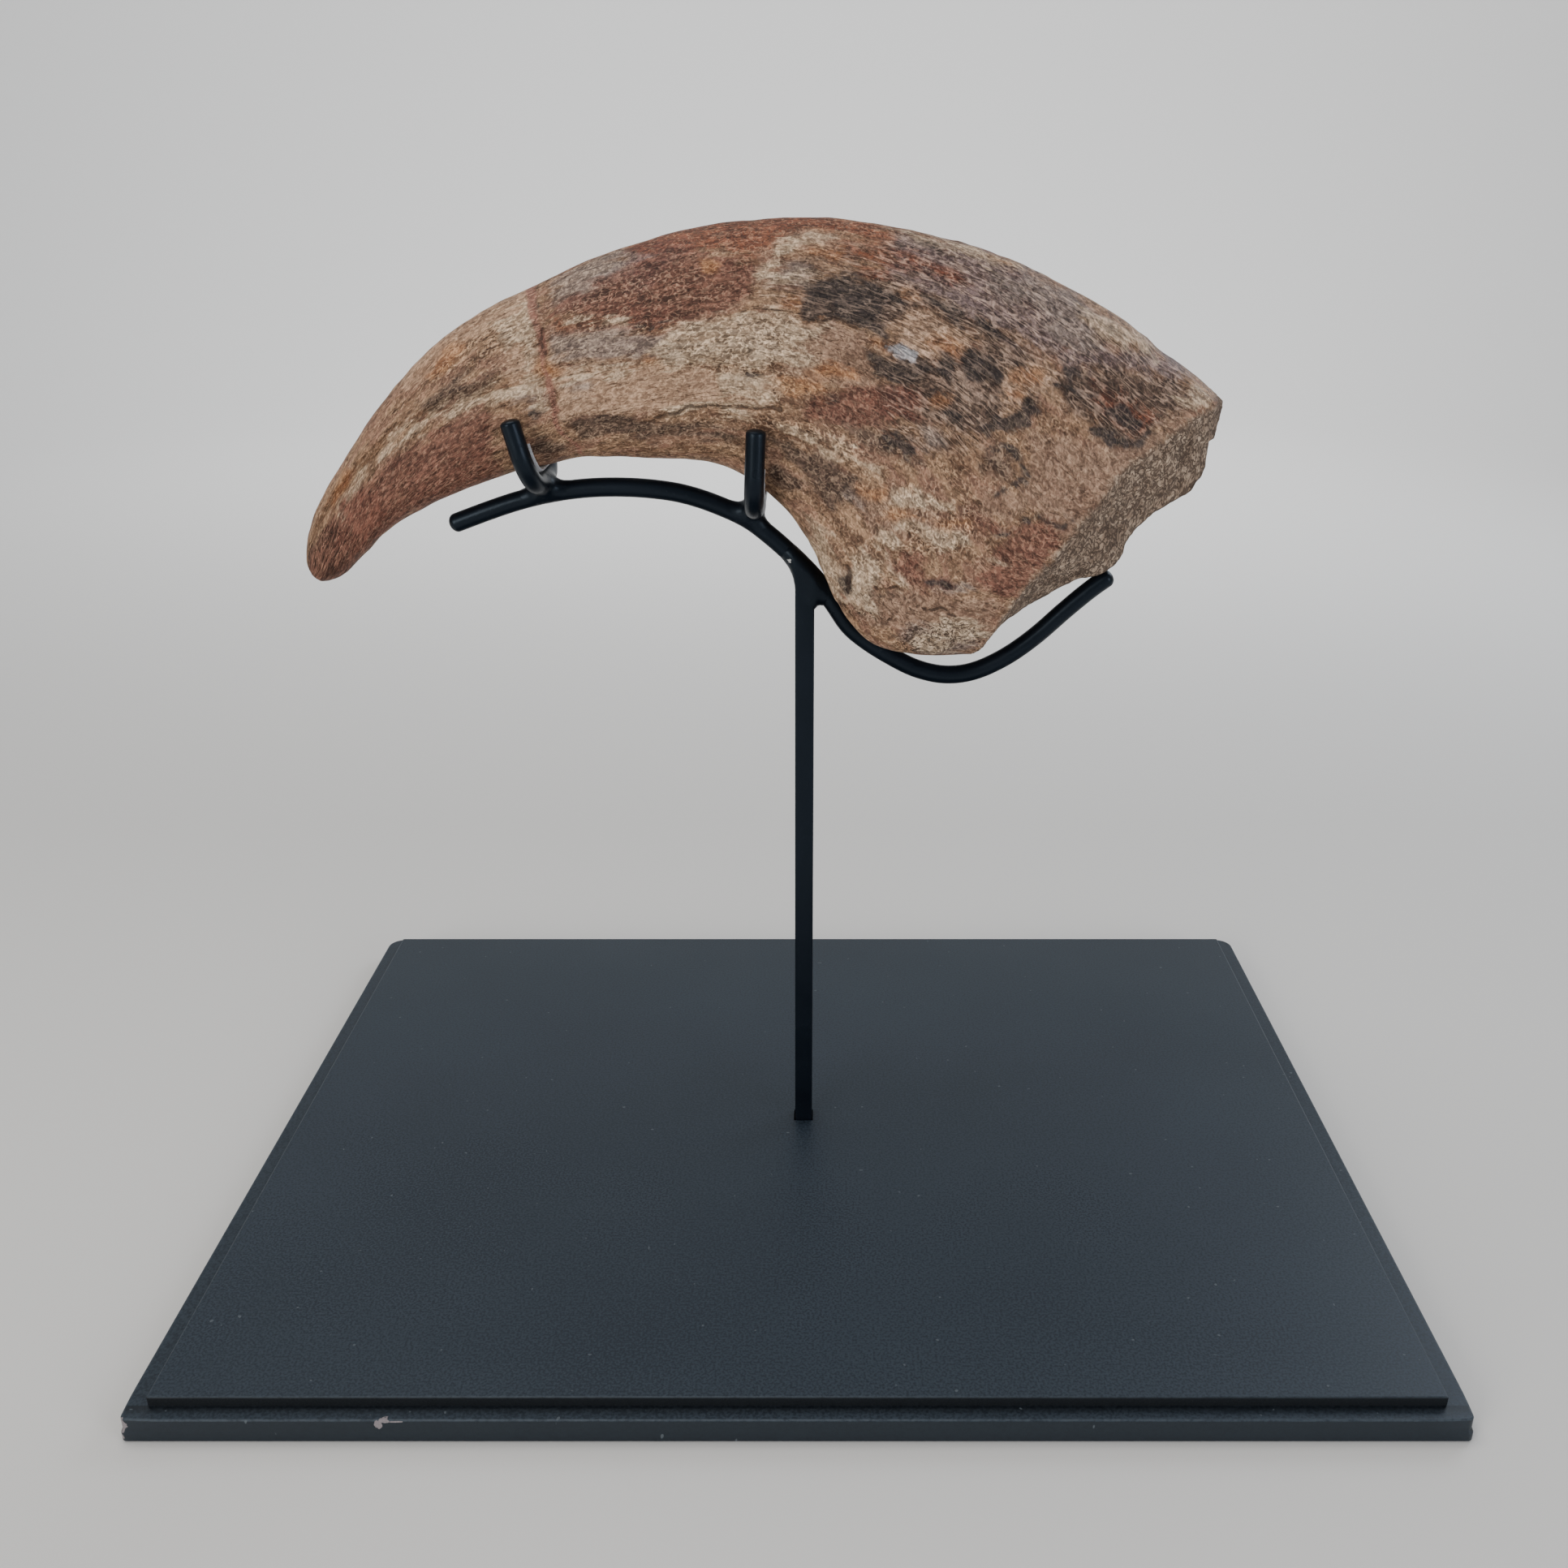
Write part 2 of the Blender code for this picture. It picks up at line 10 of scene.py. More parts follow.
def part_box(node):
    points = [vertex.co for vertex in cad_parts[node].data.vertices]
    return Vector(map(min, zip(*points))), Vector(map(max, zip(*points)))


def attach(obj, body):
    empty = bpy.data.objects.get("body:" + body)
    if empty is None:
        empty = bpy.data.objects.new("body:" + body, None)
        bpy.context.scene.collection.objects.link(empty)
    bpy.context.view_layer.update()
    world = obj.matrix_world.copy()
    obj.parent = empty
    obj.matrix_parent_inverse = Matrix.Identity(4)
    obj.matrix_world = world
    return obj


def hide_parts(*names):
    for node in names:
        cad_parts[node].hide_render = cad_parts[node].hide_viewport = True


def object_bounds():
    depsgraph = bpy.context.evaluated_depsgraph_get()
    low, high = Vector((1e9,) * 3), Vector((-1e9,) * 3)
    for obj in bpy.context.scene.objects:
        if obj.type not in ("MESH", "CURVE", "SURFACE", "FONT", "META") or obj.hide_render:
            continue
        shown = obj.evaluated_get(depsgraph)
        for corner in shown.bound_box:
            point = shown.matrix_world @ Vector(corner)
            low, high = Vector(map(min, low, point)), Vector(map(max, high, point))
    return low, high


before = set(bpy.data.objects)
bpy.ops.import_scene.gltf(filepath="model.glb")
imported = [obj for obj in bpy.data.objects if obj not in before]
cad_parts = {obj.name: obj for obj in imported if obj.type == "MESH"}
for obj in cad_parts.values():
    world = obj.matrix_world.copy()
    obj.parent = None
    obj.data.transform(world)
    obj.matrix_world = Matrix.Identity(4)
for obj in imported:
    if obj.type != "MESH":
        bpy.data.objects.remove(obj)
cad_low, cad_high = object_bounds()


# Display board: a sheet of fibreboard sawn to 12 by 9 inches, with a shallow step milled round its
# top edge. It is sprayed with satin slate-coloured paint, which has chipped off the front left
# corner and one place on the front edge, and has worn thin along the arrises.
BOARD_LOW, BOARD_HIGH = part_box("base_board")
BOARD_WIDTH = BOARD_HIGH.x - BOARD_LOW.x
BOARD_DEPTH = BOARD_HIGH.y - BOARD_LOW.y
BOARD_TOP = BOARD_HIGH.z
STEP_LEVEL = 0.0064
STEP_SIDE = 0.0053
STEP_FRONT = 0.0042
BACK_CORNER = 0.0050
FRONT_CORNER = 0.0015
FIELD_CORNER = 0.0004
SHARPEST_CORNER = 0.00005
UNDERSIDE_INSET = 0.0030
ARRIS = 0.00035
ARRIS_BEND = 0.3
WEAR_END = 1.8
STEP_WEAR = 1.0
FIELD_WEAR = 0.4
CORNER_SWELL = 0.00035
CORNER_SWELL_REACH = 0.0050
CORNER_SWELL_TOP = 0.45
SIDE_CUTS = 90
END_CUTS = 70
CORNER_CUTS = 8
SIDE_LINES = 6
POST_FOOT = Vector((-0.0005, 0, 0))
POST_SIDE = 0.0049
SOCKET_PLAY = 0.0003
SOCKET_FLOOR = 0.0046
CUT_PAST = 0.0005
PAINT_DRIFT = (0.070, 0.050, 0.030)
PAINT_GRAIN = 0.0006
PAINT_PEEL = 0.0016
PAINT_LINE = 0.0001
STEP_SHADE_FROM = 0.0008
STEP_SHADE_TO = 0.0046
SLATE_PAINT = (29, 37, 46)
SLATE_PAINT_THIN = (47, 57, 67)
# Painted shade tone for the board's outer sides.
SHADED_SIDE_TONE = (20, 27, 34)
# Painted shade tone for the step's face and for the ledge at its foot.
STEP_SHADE_TONE = (9, 12, 16)
WORN_ARRIS = (66, 75, 83)
PAINT_SPECK = (78, 86, 92)
BARE_FIBREBOARD = (150, 146, 150)
BARE_FIBREBOARD_DARK = (118, 108, 110)
QUARTERS = [(1, 1), (-1, 1), (-1, -1), (1, -1)]
BoardLine = namedtuple("BoardLine", "inset level worn")
Chip = namedtuple("Chip", "x y z across up")
BOARD_CHIPS = [
    Chip(-0.1523, -0.1141, 0.0046, 0.0019, 0.0020),
    Chip(-0.1521, -0.1141, 0.0014, 0.0009, 0.0006),
    Chip(-0.0938, -0.1143, 0.0052, 0.0010, 0.0011),
    Chip(-0.0925, -0.1143, 0.0062, 0.0013, 0.0005),
    Chip(-0.0899, -0.1143, 0.0060, 0.0016, 0.0002),
]


def rounded_corner(turn, half_x, half_y, radius, cuts):
    """Points (x, y) round one corner of a rectangle, the corners numbered in the order of QUARTERS."""
    side_x, side_y = QUARTERS[turn]
    points = []
    for k in range(cuts + 1):
        angle = math.pi / 2 * (turn + k / cuts)
        x = side_x * (half_x - radius) + radius * math.cos(angle)
        y = side_y * (half_y - radius) + radius * math.sin(angle)
        points.append((x, y))
    return points


def ring_of_board(inset_side, inset_front, level, back_corner, front_corner):
    """One closed line of points round the board, with the same count whatever its corners are."""
    half_x = BOARD_WIDTH / 2 - inset_side
    half_y = BOARD_DEPTH / 2 - inset_front
    corners = []
    for turn, (side_x, side_y) in enumerate(QUARTERS):
        radius = max((back_corner if side_y > 0 else front_corner) - inset_front, SHARPEST_CORNER)
        corner = rounded_corner(turn, half_x, half_y, radius, CORNER_CUTS)
        corners.append([(x, y, level) for x, y in corner])
    closed = []
    for turn, corner in enumerate(corners):
        cuts = SIDE_CUTS if turn % 2 == 0 else END_CUTS
        start = np.array(corner[-1])
        end = np.array(corners[(turn + 1) % 4][0])
        closed += corner + [tuple(start + (end - start) * k / cuts) for k in range(1, cuts)]
    return closed


def swollen(point):
    """A point of the board's side, drawn in near the front corners above the part that has swollen."""
    x, y, z = point
    away = math.hypot(BOARD_WIDTH / 2 - abs(x), BOARD_DEPTH / 2 + y)
    if z < STEP_LEVEL * CORNER_SWELL_TOP or z > STEP_LEVEL:
        return point
    pull = CORNER_SWELL * math.exp(-((away / CORNER_SWELL_REACH) ** 2))
    return x - math.copysign(pull, x), y + pull, z


def arris_lines(level, worn):
    """Lines over a worn top edge, with one more just inside it where the wear ends."""
    return [
        BoardLine(ARRIS * ARRIS_BEND, level - ARRIS * ARRIS_BEND, worn),
        BoardLine(ARRIS, level, worn),
        BoardLine(ARRIS * WEAR_END, level, 0.0),
    ]


def mesh_of_rings(name, rings, close_last=True):
    """A skin over rings of points that all have the same count, closed at the first ring."""
    work = bmesh.new()
    made = [[work.verts.new(p) for p in ring] for ring in rings]
    for low, high in zip(made, made[1:]):
        for k in range(len(low)):
            after = (k + 1) % len(low)
            work.faces.new([low[k], low[after], high[after], high[k]])
    work.faces.new(list(reversed(made[0])))
    if close_last:
        work.faces.new(made[-1])
    bmesh.ops.recalc_face_normals(work, faces=work.faces)
    mesh = bpy.data.meshes.new(name)
    work.to_mesh(mesh)
    work.free()
    return mesh


def place(name, mesh, finish, smooth_below=None):
    piece = bpy.data.objects.new(name, mesh)
    bpy.context.scene.collection.objects.link(piece)
    mesh.materials.append(finish)
    if smooth_below is not None:
        mesh.shade_smooth()
        mesh.set_sharp_from_angle(angle=math.radians(smooth_below))
    return piece


def cut_out(piece, cutter):
    """Takes the cutter's shape out of the piece for good, and throws the cutter away."""
    step = piece.modifiers.new("cut", "BOOLEAN")
    step.operation = "DIFFERENCE"
    step.object = cutter
    bpy.context.view_layer.update()
    cut = bpy.data.meshes.new_from_object(piece.evaluated_get(bpy.context.evaluated_depsgraph_get()))
    piece.modifiers.remove(step)
    piece.data = cut
    bpy.data.objects.remove(cutter)


def tone(colour):
    """A colour as read off a paint card, 0 to 255, as the shader wants it."""
    shares = [value / 255 for value in colour]
    linear = [s / 12.92 if s <= 0.04045 else ((s + 0.055) / 1.055) ** 2.4 for s in shares]
    return (*linear, 1.0)


def new_finish(name, roughness, specular=0.5):
    """A material with its shader's plain values set; returns it with its nodes and its shader."""
    finish = bpy.data.materials.new(name)
    finish.use_nodes = True
    shader = finish.node_tree.nodes["Principled BSDF"]
    shader.inputs["Roughness"].default_value = roughness
    shader.inputs["Specular IOR Level"].default_value = specular
    return finish, finish.node_tree, shader


def add_node(kind, sockets, tree=None, **settings):
    """A node with its sockets set or fed. It joins the finish of what feeds it, or the tree named."""
    feeds = [value for value in sockets.values() if isinstance(value, bpy.types.NodeSocket)]
    tree = tree or feeds[0].id_data
    made = tree.nodes.new(kind)
    for key, value in settings.items():
        setattr(made, key, value)
    for key, value in sockets.items():
        if isinstance(value, bpy.types.NodeSocket):
            tree.links.new(value, made.inputs[key])
        else:
            made.inputs[key].default_value = value
    return made


def feed(shader, socket, value):
    value.id_data.links.new(value, shader.inputs[socket])


def object_place(tree):
    return add_node("ShaderNodeTexCoord", {}, tree).outputs["Object"]


def named_value(tree, name):
    return add_node("ShaderNodeAttribute", {}, tree, attribute_name=name).outputs["Fac"]


def maths(operation, first, second=0.0):
    return add_node("ShaderNodeMath", {0: first, 1: second}, operation=operation).outputs[0]


def times(first, second):
    return maths("MULTIPLY", first, second)


def rest_of(share):
    return maths("SUBTRACT", 1.0, share)


def centred(noise_value):
    return maths("SUBTRACT", noise_value, 0.5)


def larger(first, second):
    return maths("MAXIMUM", first, second)


def sum_of(*terms):
    """Weighted sum of (value, weight) pairs."""
    total = None
    for value, weight in terms:
        part = times(value, weight)
        total = part if total is None else maths("ADD", total, part)
    return total


def between(value, low, high, to_low=0.0, to_high=1.0):
    """Soft step: to_low where the value is under low, to_high where it is over high."""
    sockets = {"Value": value, "From Min": low, "From Max": high, "To Min": to_low, "To Max": to_high}
    return add_node("ShaderNodeMapRange", sockets, interpolation_type="SMOOTHSTEP").outputs["Result"]


def blended(share, first, second):
    """Colour that goes from the first to the second, read off a card or mixed, as share goes to 1."""
    ends = [tone(end) if isinstance(end, tuple) else end for end in (first, second)]
    return add_node("ShaderNodeMix", {0: share, 6: ends[0], 7: ends[1]}, data_type="RGBA").outputs[2]


def cloudy(where, size, detail=3.0, warp=0.0, harsh=0.5):
    """Noise from 0 to 1, with lumps of one size all ways or of the size (x, y, z), in where's units."""
    scale = tuple(1 / np.broadcast_to(size, 3))
    scaled = add_node("ShaderNodeMapping", {"Vector": where, "Scale": scale}).outputs[0]
    sockets = {"Vector": scaled, "Scale": 1.0, "Detail": detail, "Distortion": warp, "Roughness": harsh}
    return add_node("ShaderNodeTexNoise", sockets).outputs["Fac"]


def raised(height, depth, strength=1.0):
    """Bump of the given depth in metres."""
    sockets = {"Height": height, "Distance": depth, "Strength": strength}
    return add_node("ShaderNodeBump", sockets).outputs["Normal"]


def chipped(where, chip, ragged):
    """1 inside a chip with a ragged edge, 0 outside it."""
    offset = add_node("ShaderNodeVectorMath", {0: where, 1: (chip.x, chip.y, chip.z)}, operation="SUBTRACT")
    shape = (1 / chip.across, 1 / chip.across, 1 / chip.up)
    scaled = add_node("ShaderNodeVectorMath", {0: offset.outputs[0], 1: shape}, operation="MULTIPLY")
    away = add_node("ShaderNodeVectorMath", {0: scaled.outputs[0]}, operation="LENGTH").outputs["Value"]
    return between(maths("ADD", away, ragged), 1.02, 0.94)


def slate_paint():
    """Satin paint, with painted shade on the outer sides, on the step's face and on the ledge at its foot;
    worn on arrises, gone in the chips.
    """
    finish, tree, shader = new_finish("slate_paint", 0.40, 0.42)
    shader.inputs["Specular Tint"].default_value = (0.80, 0.90, 1.0, 1.0)
    where = object_place(tree)
    drift = cloudy(where, PAINT_DRIFT, 2)
    grain = cloudy(where, PAINT_GRAIN, 2)
    peel = cloudy(where, PAINT_PEEL, 2)
    mix = between(sum_of((drift, 0.15), (grain, 0.85)), 0.38, 0.62)
    colour = blended(mix, SLATE_PAINT, SLATE_PAINT_THIN)
    place_parts = add_node("ShaderNodeSeparateXYZ", {0: where})
    level = place_parts.outputs["Z"]
    depth = place_parts.outputs["Y"]
    # Painted shade: the outer sides below the ledge are darker than the top, as they catch less light.
    side_shade = between(level, STEP_LEVEL - 4 * PAINT_LINE, STEP_LEVEL - 2 * PAINT_LINE, 0.80, 0.0)
    colour = blended(side_shade, colour, SHADED_SIDE_TONE)
    # Painted shade: the front ledge darkens towards the foot of the step.
    foot_line = BOARD_LOW.y + STEP_FRONT
    foot = between(depth, BOARD_LOW.y + STEP_SHADE_FROM, foot_line, 0.0, 0.75)
    foot = times(foot, between(depth, foot_line, BOARD_LOW.y + STEP_SHADE_TO, 1.0, 0.0))
    foot = times(foot, between(level, STEP_LEVEL - PAINT_LINE, STEP_LEVEL - PAINT_LINE / 2))
    colour = blended(foot, colour, STEP_SHADE_TONE)
    # Painted shade: the step's upright face, between the ledge and the top, is made nearly black; it is also
    # made rougher.
    above = between(level, STEP_LEVEL + PAINT_LINE, STEP_LEVEL + 3 * PAINT_LINE)
    below = between(level, BOARD_TOP - 3 * PAINT_LINE, BOARD_TOP - PAINT_LINE, 1.0, 0.0)
    shaded_riser = times(above, below)
    colour = blended(times(shaded_riser, 0.95), colour, STEP_SHADE_TONE)
    worn = times(named_value(tree, "worn"), between(peel, 0.30, 0.62, 0.1, 0.7))
    colour = blended(worn, colour, WORN_ARRIS)
    specks = between(cloudy(where, (0.0016, 0.0016, 0.004), 0), 0.845, 0.87)
    colour = blended(specks, colour, PAINT_SPECK)
    ragged = times(centred(cloudy(where, (0.0011, 0.0011, 0.0009), 3)), 1.3)
    bare = blended(cloudy(where, 0.0003, 2), BARE_FIBREBOARD, BARE_FIBREBOARD_DARK)
    cover = chipped(where, BOARD_CHIPS[0], ragged)
    for chip in BOARD_CHIPS[1:]:
        cover = larger(cover, chipped(where, chip, ragged))
    feed(shader, "Base Color", blended(cover, colour, bare))
    rough = maths("ADD", larger(cover, times(shaded_riser, 0.5)), grain)
    feed(shader, "Roughness", between(rough, 0.3, 1.4, 0.40, 0.85))
    height = sum_of((grain, 0.6), (peel, 0.1), (cover, -2.0))
    feed(shader, "Normal", raised(height, 0.00004, 0.5))
    return finish


def square_peg(name, low, high, floor, top, finish):
    """Upright square bar, to cut a hole with."""
    corners = [(low.x, low.y), (high.x, low.y), (high.x, high.y), (low.x, high.y)]
    return place(name, mesh_of_rings(name, [[(x, y, z) for x, y in corners] for z in (floor, top)]), finish)


outer_lines = [BoardLine(UNDERSIDE_INSET, 0.0, 0.0), BoardLine(ARRIS, 0.0, 0.0)]
for k in range(SIDE_LINES + 1):
    outer_lines.append(BoardLine(0.0, ARRIS + (STEP_LEVEL - 2 * ARRIS) * k / SIDE_LINES, 0.0))
outer_lines += arris_lines(STEP_LEVEL, STEP_WEAR)
field_lines = [BoardLine(0.0, STEP_LEVEL, 0.0), BoardLine(0.0, BOARD_TOP - ARRIS, 0.0)]
field_lines += arris_lines(BOARD_TOP, FIELD_WEAR)
board_rings = []
for line in outer_lines:
    board_rings.append(ring_of_board(line.inset, line.inset, line.level, BACK_CORNER, FRONT_CORNER))
for line in field_lines:
    inset_front = STEP_FRONT + line.inset
    corner = inset_front + FIELD_CORNER
    board_rings.append(ring_of_board(STEP_SIDE + line.inset, inset_front, line.level, corner, corner))
board_mesh = mesh_of_rings("display_board", [[swollen(p) for p in ring] for ring in board_rings])
worn_points = board_mesh.attributes.new("worn", "FLOAT", "POINT")
for k, point in enumerate(worn_points.data):
    point.value = (outer_lines + field_lines)[k // len(board_rings[0])].worn
board = place("display_board", board_mesh, slate_paint(), 20)
play = Vector((POST_SIDE / 2 + SOCKET_PLAY, POST_SIDE / 2 + SOCKET_PLAY, 0))
peg_top = BOARD_TOP + 2 * CUT_PAST
peg = square_peg("socket", POST_FOOT - play, POST_FOOT + play, SOCKET_FLOOR, peg_top, board.data.materials[0])
cut_out(board, peg)
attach(board, "root")
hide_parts("base_board")


# Screw: a zinc plated countersunk wood screw with a cross recess, driven from below through the
# board into the post's foot. Its head sits a little under the board's face.
SCREW_HEAD_RADIUS = 0.0030
SCREW_SHANK_RADIUS = 0.0014
SCREW_SINK = 0.0006
SCREW_CONE = 0.0017
SCREW_LENGTH = 0.0118
SCREW_CUTS = 40
SCREW_FACE = 0.96
SCREW_BEVEL = 0.0001
SCREW_RIM = 0.0003
HOLE_PLAY = 0.0003
CROSS_ARM = 0.0016
CROSS_WIDTH = 0.0005
CROSS_DEPTH = 0.0011
ZINC_DARK = (168, 170, 168)
ZINC_LIGHT = (214, 216, 212)


def circle_of(cuts):
    return [2 * math.pi * k / cuts for k in range(cuts)]


def rings_about(centre, profile, cuts):
    """Level rings about an upright line, from (radius, height) points."""
    ways = [(math.cos(a), math.sin(a)) for a in circle_of(cuts)]
    return [[(centre.x + r * x, centre.y + r * y, height) for x, y in ways] for r, height in profile]


def turned(name, centre, profile, finish, smooth_below=None):
    return place(name, mesh_of_rings(name, rings_about(centre, profile, SCREW_CUTS)), finish, smooth_below)


def zinc_plate():
    finish, tree, shader = new_finish("zinc_plate", 0.34)
    shader.inputs["Metallic"].default_value = 1.0
    spangle = cloudy(object_place(tree), 0.0009, 3)
    feed(shader, "Base Color", blended(spangle, ZINC_DARK, ZINC_LIGHT))
    feed(shader, "Roughness", between(spangle, 0.3, 0.7, 0.28, 0.46))
    return finish


zinc = zinc_plate()
hole_profile = [
    (SCREW_HEAD_RADIUS + HOLE_PLAY, -2 * CUT_PAST),
    (SCREW_HEAD_RADIUS + HOLE_PLAY, SCREW_SINK),
    (SCREW_SHANK_RADIUS + HOLE_PLAY, SCREW_SINK + SCREW_CONE),
    (SCREW_SHANK_RADIUS + HOLE_PLAY, SOCKET_FLOOR + CUT_PAST),
]
cut_out(board, turned("screw_hole", POST_FOOT, hole_profile, board.data.materials[0]))
screw_profile = [
    (SCREW_HEAD_RADIUS * SCREW_FACE, SCREW_SINK),
    (SCREW_HEAD_RADIUS, SCREW_SINK + SCREW_BEVEL),
    (SCREW_HEAD_RADIUS, SCREW_SINK + SCREW_RIM),
    (SCREW_SHANK_RADIUS, SCREW_SINK + SCREW_CONE),
    (SCREW_SHANK_RADIUS, SCREW_SINK + SCREW_LENGTH),
]
screw = turned("countersunk_screw", POST_FOOT, screw_profile, zinc, 30)
for long_way, short_way in [(CROSS_ARM, CROSS_WIDTH), (CROSS_WIDTH, CROSS_ARM)]:
    reach = Vector((long_way, short_way, 0))
    arm = square_peg("cross", POST_FOOT - reach, POST_FOOT + reach, 0.0, SCREW_SINK + CROSS_DEPTH, zinc)
    cut_out(screw, arm)
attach(screw, "root")
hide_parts("post_screw")


# Cradle rod: one length of 3/16 inch round steel rod, bent by hand in one plane to follow the
# claw's underside, from below the hook over the arch and round the heel. Both ends are ground
# round, and the whole stand is sprayed satin black after welding.
ROD_RADIUS = 0.00238
ROD_ROUTE = [
    (-0.0876, 0.1836), (-0.0781, 0.1871), (-0.0698, 0.1898), (-0.0616, 0.1917),
    (-0.0535, 0.1928), (-0.0455, 0.1931), (-0.0374, 0.1927), (-0.0294, 0.1915),
    (-0.0215, 0.1890), (-0.0135, 0.1853), (-0.0075, 0.1808), (-0.0014, 0.1752),
    (0.0040, 0.1695), (0.0082, 0.1634), (0.0120, 0.1577), (0.0164, 0.1538),
    (0.0225, 0.1498), (0.0295, 0.1462), (0.0370, 0.1445), (0.0445, 0.1454),
    (0.0525, 0.1492), (0.0600, 0.1548), (0.0672, 0.1616), (0.0733, 0.1670), (0.0787, 0.1711),
]
BAR_CUTS = 28
BAR_STEP = 0.0014
DOME_CUTS = 8
DOME_CLEAR = 1.1
ROD_NOSE = 0.8
READS_PER_POINT = 40
SATIN_BLACK = (9, 13, 19)
SATIN_BLACK_THIN = (17, 23, 31)
BARE_STEEL = (196, 198, 198)


def smooth_read(rows, at):
    """Rows of a table read at fractional row numbers, on a smooth curve through all of them."""
    rows = np.asarray(rows, float)
    at = np.asarray(at, float)
    last = len(rows) - 1
    k = np.clip(at.astype(int), 0, last - 1)
    t = (at - k)[..., None]
    before = rows[np.maximum(k - 1, 0)]
    start = rows[k]
    end = rows[k + 1]
    after = rows[np.minimum(k + 2, last)]
    pull = (end - before) / 2
    push = (after - start) / 2
    return (
        start * (2 * t**3 - 3 * t**2 + 1) + pull * (t**3 - 2 * t**2 + t)
        + end * (3 * t**2 - 2 * t**3) + push * (t**3 - t**2)
    )


def even_steps(points, step):
    """Evenly spaced points of the smooth curve through the given ones."""
    fine = smooth_read(points, np.linspace(0, len(points) - 1, READS_PER_POINT * len(points)))
    run = np.concatenate([[0], np.cumsum(np.linalg.norm(np.diff(fine, axis=0), axis=1))])
    stops = np.linspace(0, run[-1], max(2, round(run[-1] / step) + 1))
    return np.stack([np.interp(stops, run, fine[:, axis]) for axis in range(fine.shape[1])], axis=1)


def round_bar(name, path, radius, flat_normal, finish, nose):
    """Round bar along a path that lies in one plane, with both ends ground to a dome nose radii high."""
    path = [Vector(p) for p in path]
    normal = Vector(flat_normal).normalized()
    dome = radius * nose
    rings = []

    def ring(centre, forward, size):
        out = normal.cross(forward).normalized()
        turns = circle_of(BAR_CUTS)
        rings.append([centre + (normal * math.cos(a) + out * math.sin(a)) * size for a in turns])

    first = (path[1] - path[0]).normalized()
    last = (path[-1] - path[-2]).normalized()
    climbs = [math.pi / 2 * k / DOME_CUTS for k in range(1, DOME_CUTS + 1)]
    for a in climbs:
        ring(path[0] + first * dome * (1 - math.cos(a)), first, radius * math.sin(a))
    for before, point, after in zip(path, path[1:], path[2:]):
        if min((point - path[0]).length, (point - path[-1]).length) > dome * DOME_CLEAR:
            ring(point, (after - before).normalized(), radius)
    for a in reversed(climbs):
        ring(path[-1] - last * dome * (1 - math.cos(a)), last, radius * math.sin(a))
    return place(name, mesh_of_rings(name, rings), finish, 60)


def satin_black(name, chip=None):
    """Sprayed black paint over steel: faint peel, dust nibs and, on one weld, a chip of bare metal."""
    finish, tree, shader = new_finish(name, 0.33, 0.24)
    shader.inputs["Specular Tint"].default_value = (0.62, 0.80, 1.0, 1.0)
    where = object_place(tree)
    peel = cloudy(where, 0.0016, 2)
    nibs = between(cloudy(where, 0.0009, 0), 0.74, 0.80)
    cloud = cloudy(where, 0.012, 3)
    colour = blended(cloud, SATIN_BLACK, SATIN_BLACK_THIN)
    if chip:
        ragged = times(centred(cloudy(where, 0.0004, 2)), 1.4)
        colour = blended(chipped(where, chip, ragged), colour, BARE_STEEL)
    feed(shader, "Base Color", colour)
    feed(shader, "Roughness", between(cloud, 0.25, 0.75, 0.27, 0.42))
    feed(shader, "Normal", raised(maths("ADD", peel, times(nibs, 0.8)), 0.00005, 0.7))
    return finish


black = satin_black("satin_black_paint")
rod_line = np.array([(x, 0.0, z) for x, z in even_steps(ROD_ROUTE, BAR_STEP)])
rod = round_bar("bent_cradle_rod", rod_line, ROD_RADIUS, (0, 1, 0), black, ROD_NOSE)
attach(rod, "root")
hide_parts("cradle_rod")


# Clips: two short lengths of the same rod bent to a U and welded across the cradle, the left one
# leaning towards the claw's tip. Each weld has a smooth fillet where its two rods cross.
Clip = namedtuple("Clip", "name foot_x foot_z lean half_span height")
CLIPS = [
    Clip("left", -0.0637, 0.1950, math.radians(-14), 0.0148, 0.0172),
    Clip("right", -0.0110, 0.1892, math.radians(3), 0.0165, 0.0206),
]
ACROSS = Vector((0, 1, 0))
CLIP_BEND = 0.0095
CLIP_CUTS = 14
CLIP_ARM_CUTS = 6
CLIP_NOSE = 0.45
FILLET = 0.0046
FILLET_START = 0.0004
FILLET_REACH = 0.0090
FILLET_READS = 90
FILLET_SINK = 0.00006


def clip_directions(clip):
    up = Vector((math.sin(clip.lean), 0, math.cos(clip.lean)))
    return Vector((clip.foot_x, 0, clip.foot_z)), up


def clip_line(clip, inset=0.0, share=1.0):
    """Centre line of a U clip from the front arm's end to the rear one's, moved inwards by inset."""
    foot, up = clip_directions(clip)
    bend = CLIP_BEND - inset
    half = clip.half_span - inset
    rise = bend + (clip.height - CLIP_BEND) * share
    flat = [(-half, rise + (bend - rise) * k / CLIP_ARM_CUTS) for k in range(CLIP_ARM_CUTS)]
    for k in range(CLIP_CUTS + 1):
        angle = math.pi + math.pi / 2 * k / CLIP_CUTS
        flat.append((-(half - bend) + bend * math.cos(angle), bend + bend * math.sin(angle)))
    flat += [(-y, z) for y, z in reversed(flat)]
    return [foot + Vector((0, y, 0)) + up * (z + inset) for y, z in flat]


def distance_to_line(points, line):
    """Distance of many points to a line of straight pieces."""
    best = np.full(len(points), 1e9)
    for start, end in zip(line[:-1], line[1:]):
        along = end - start
        share = np.clip((points - start) @ along / max(along @ along, 1e-18), 0, 1)
        best = np.minimum(best, np.linalg.norm(points - start - share[:, None] * along, axis=1))
    return best


def bar_field(line):
    line = np.array([tuple(p) for p in line])
    return lambda points: distance_to_line(points, line) - ROD_RADIUS


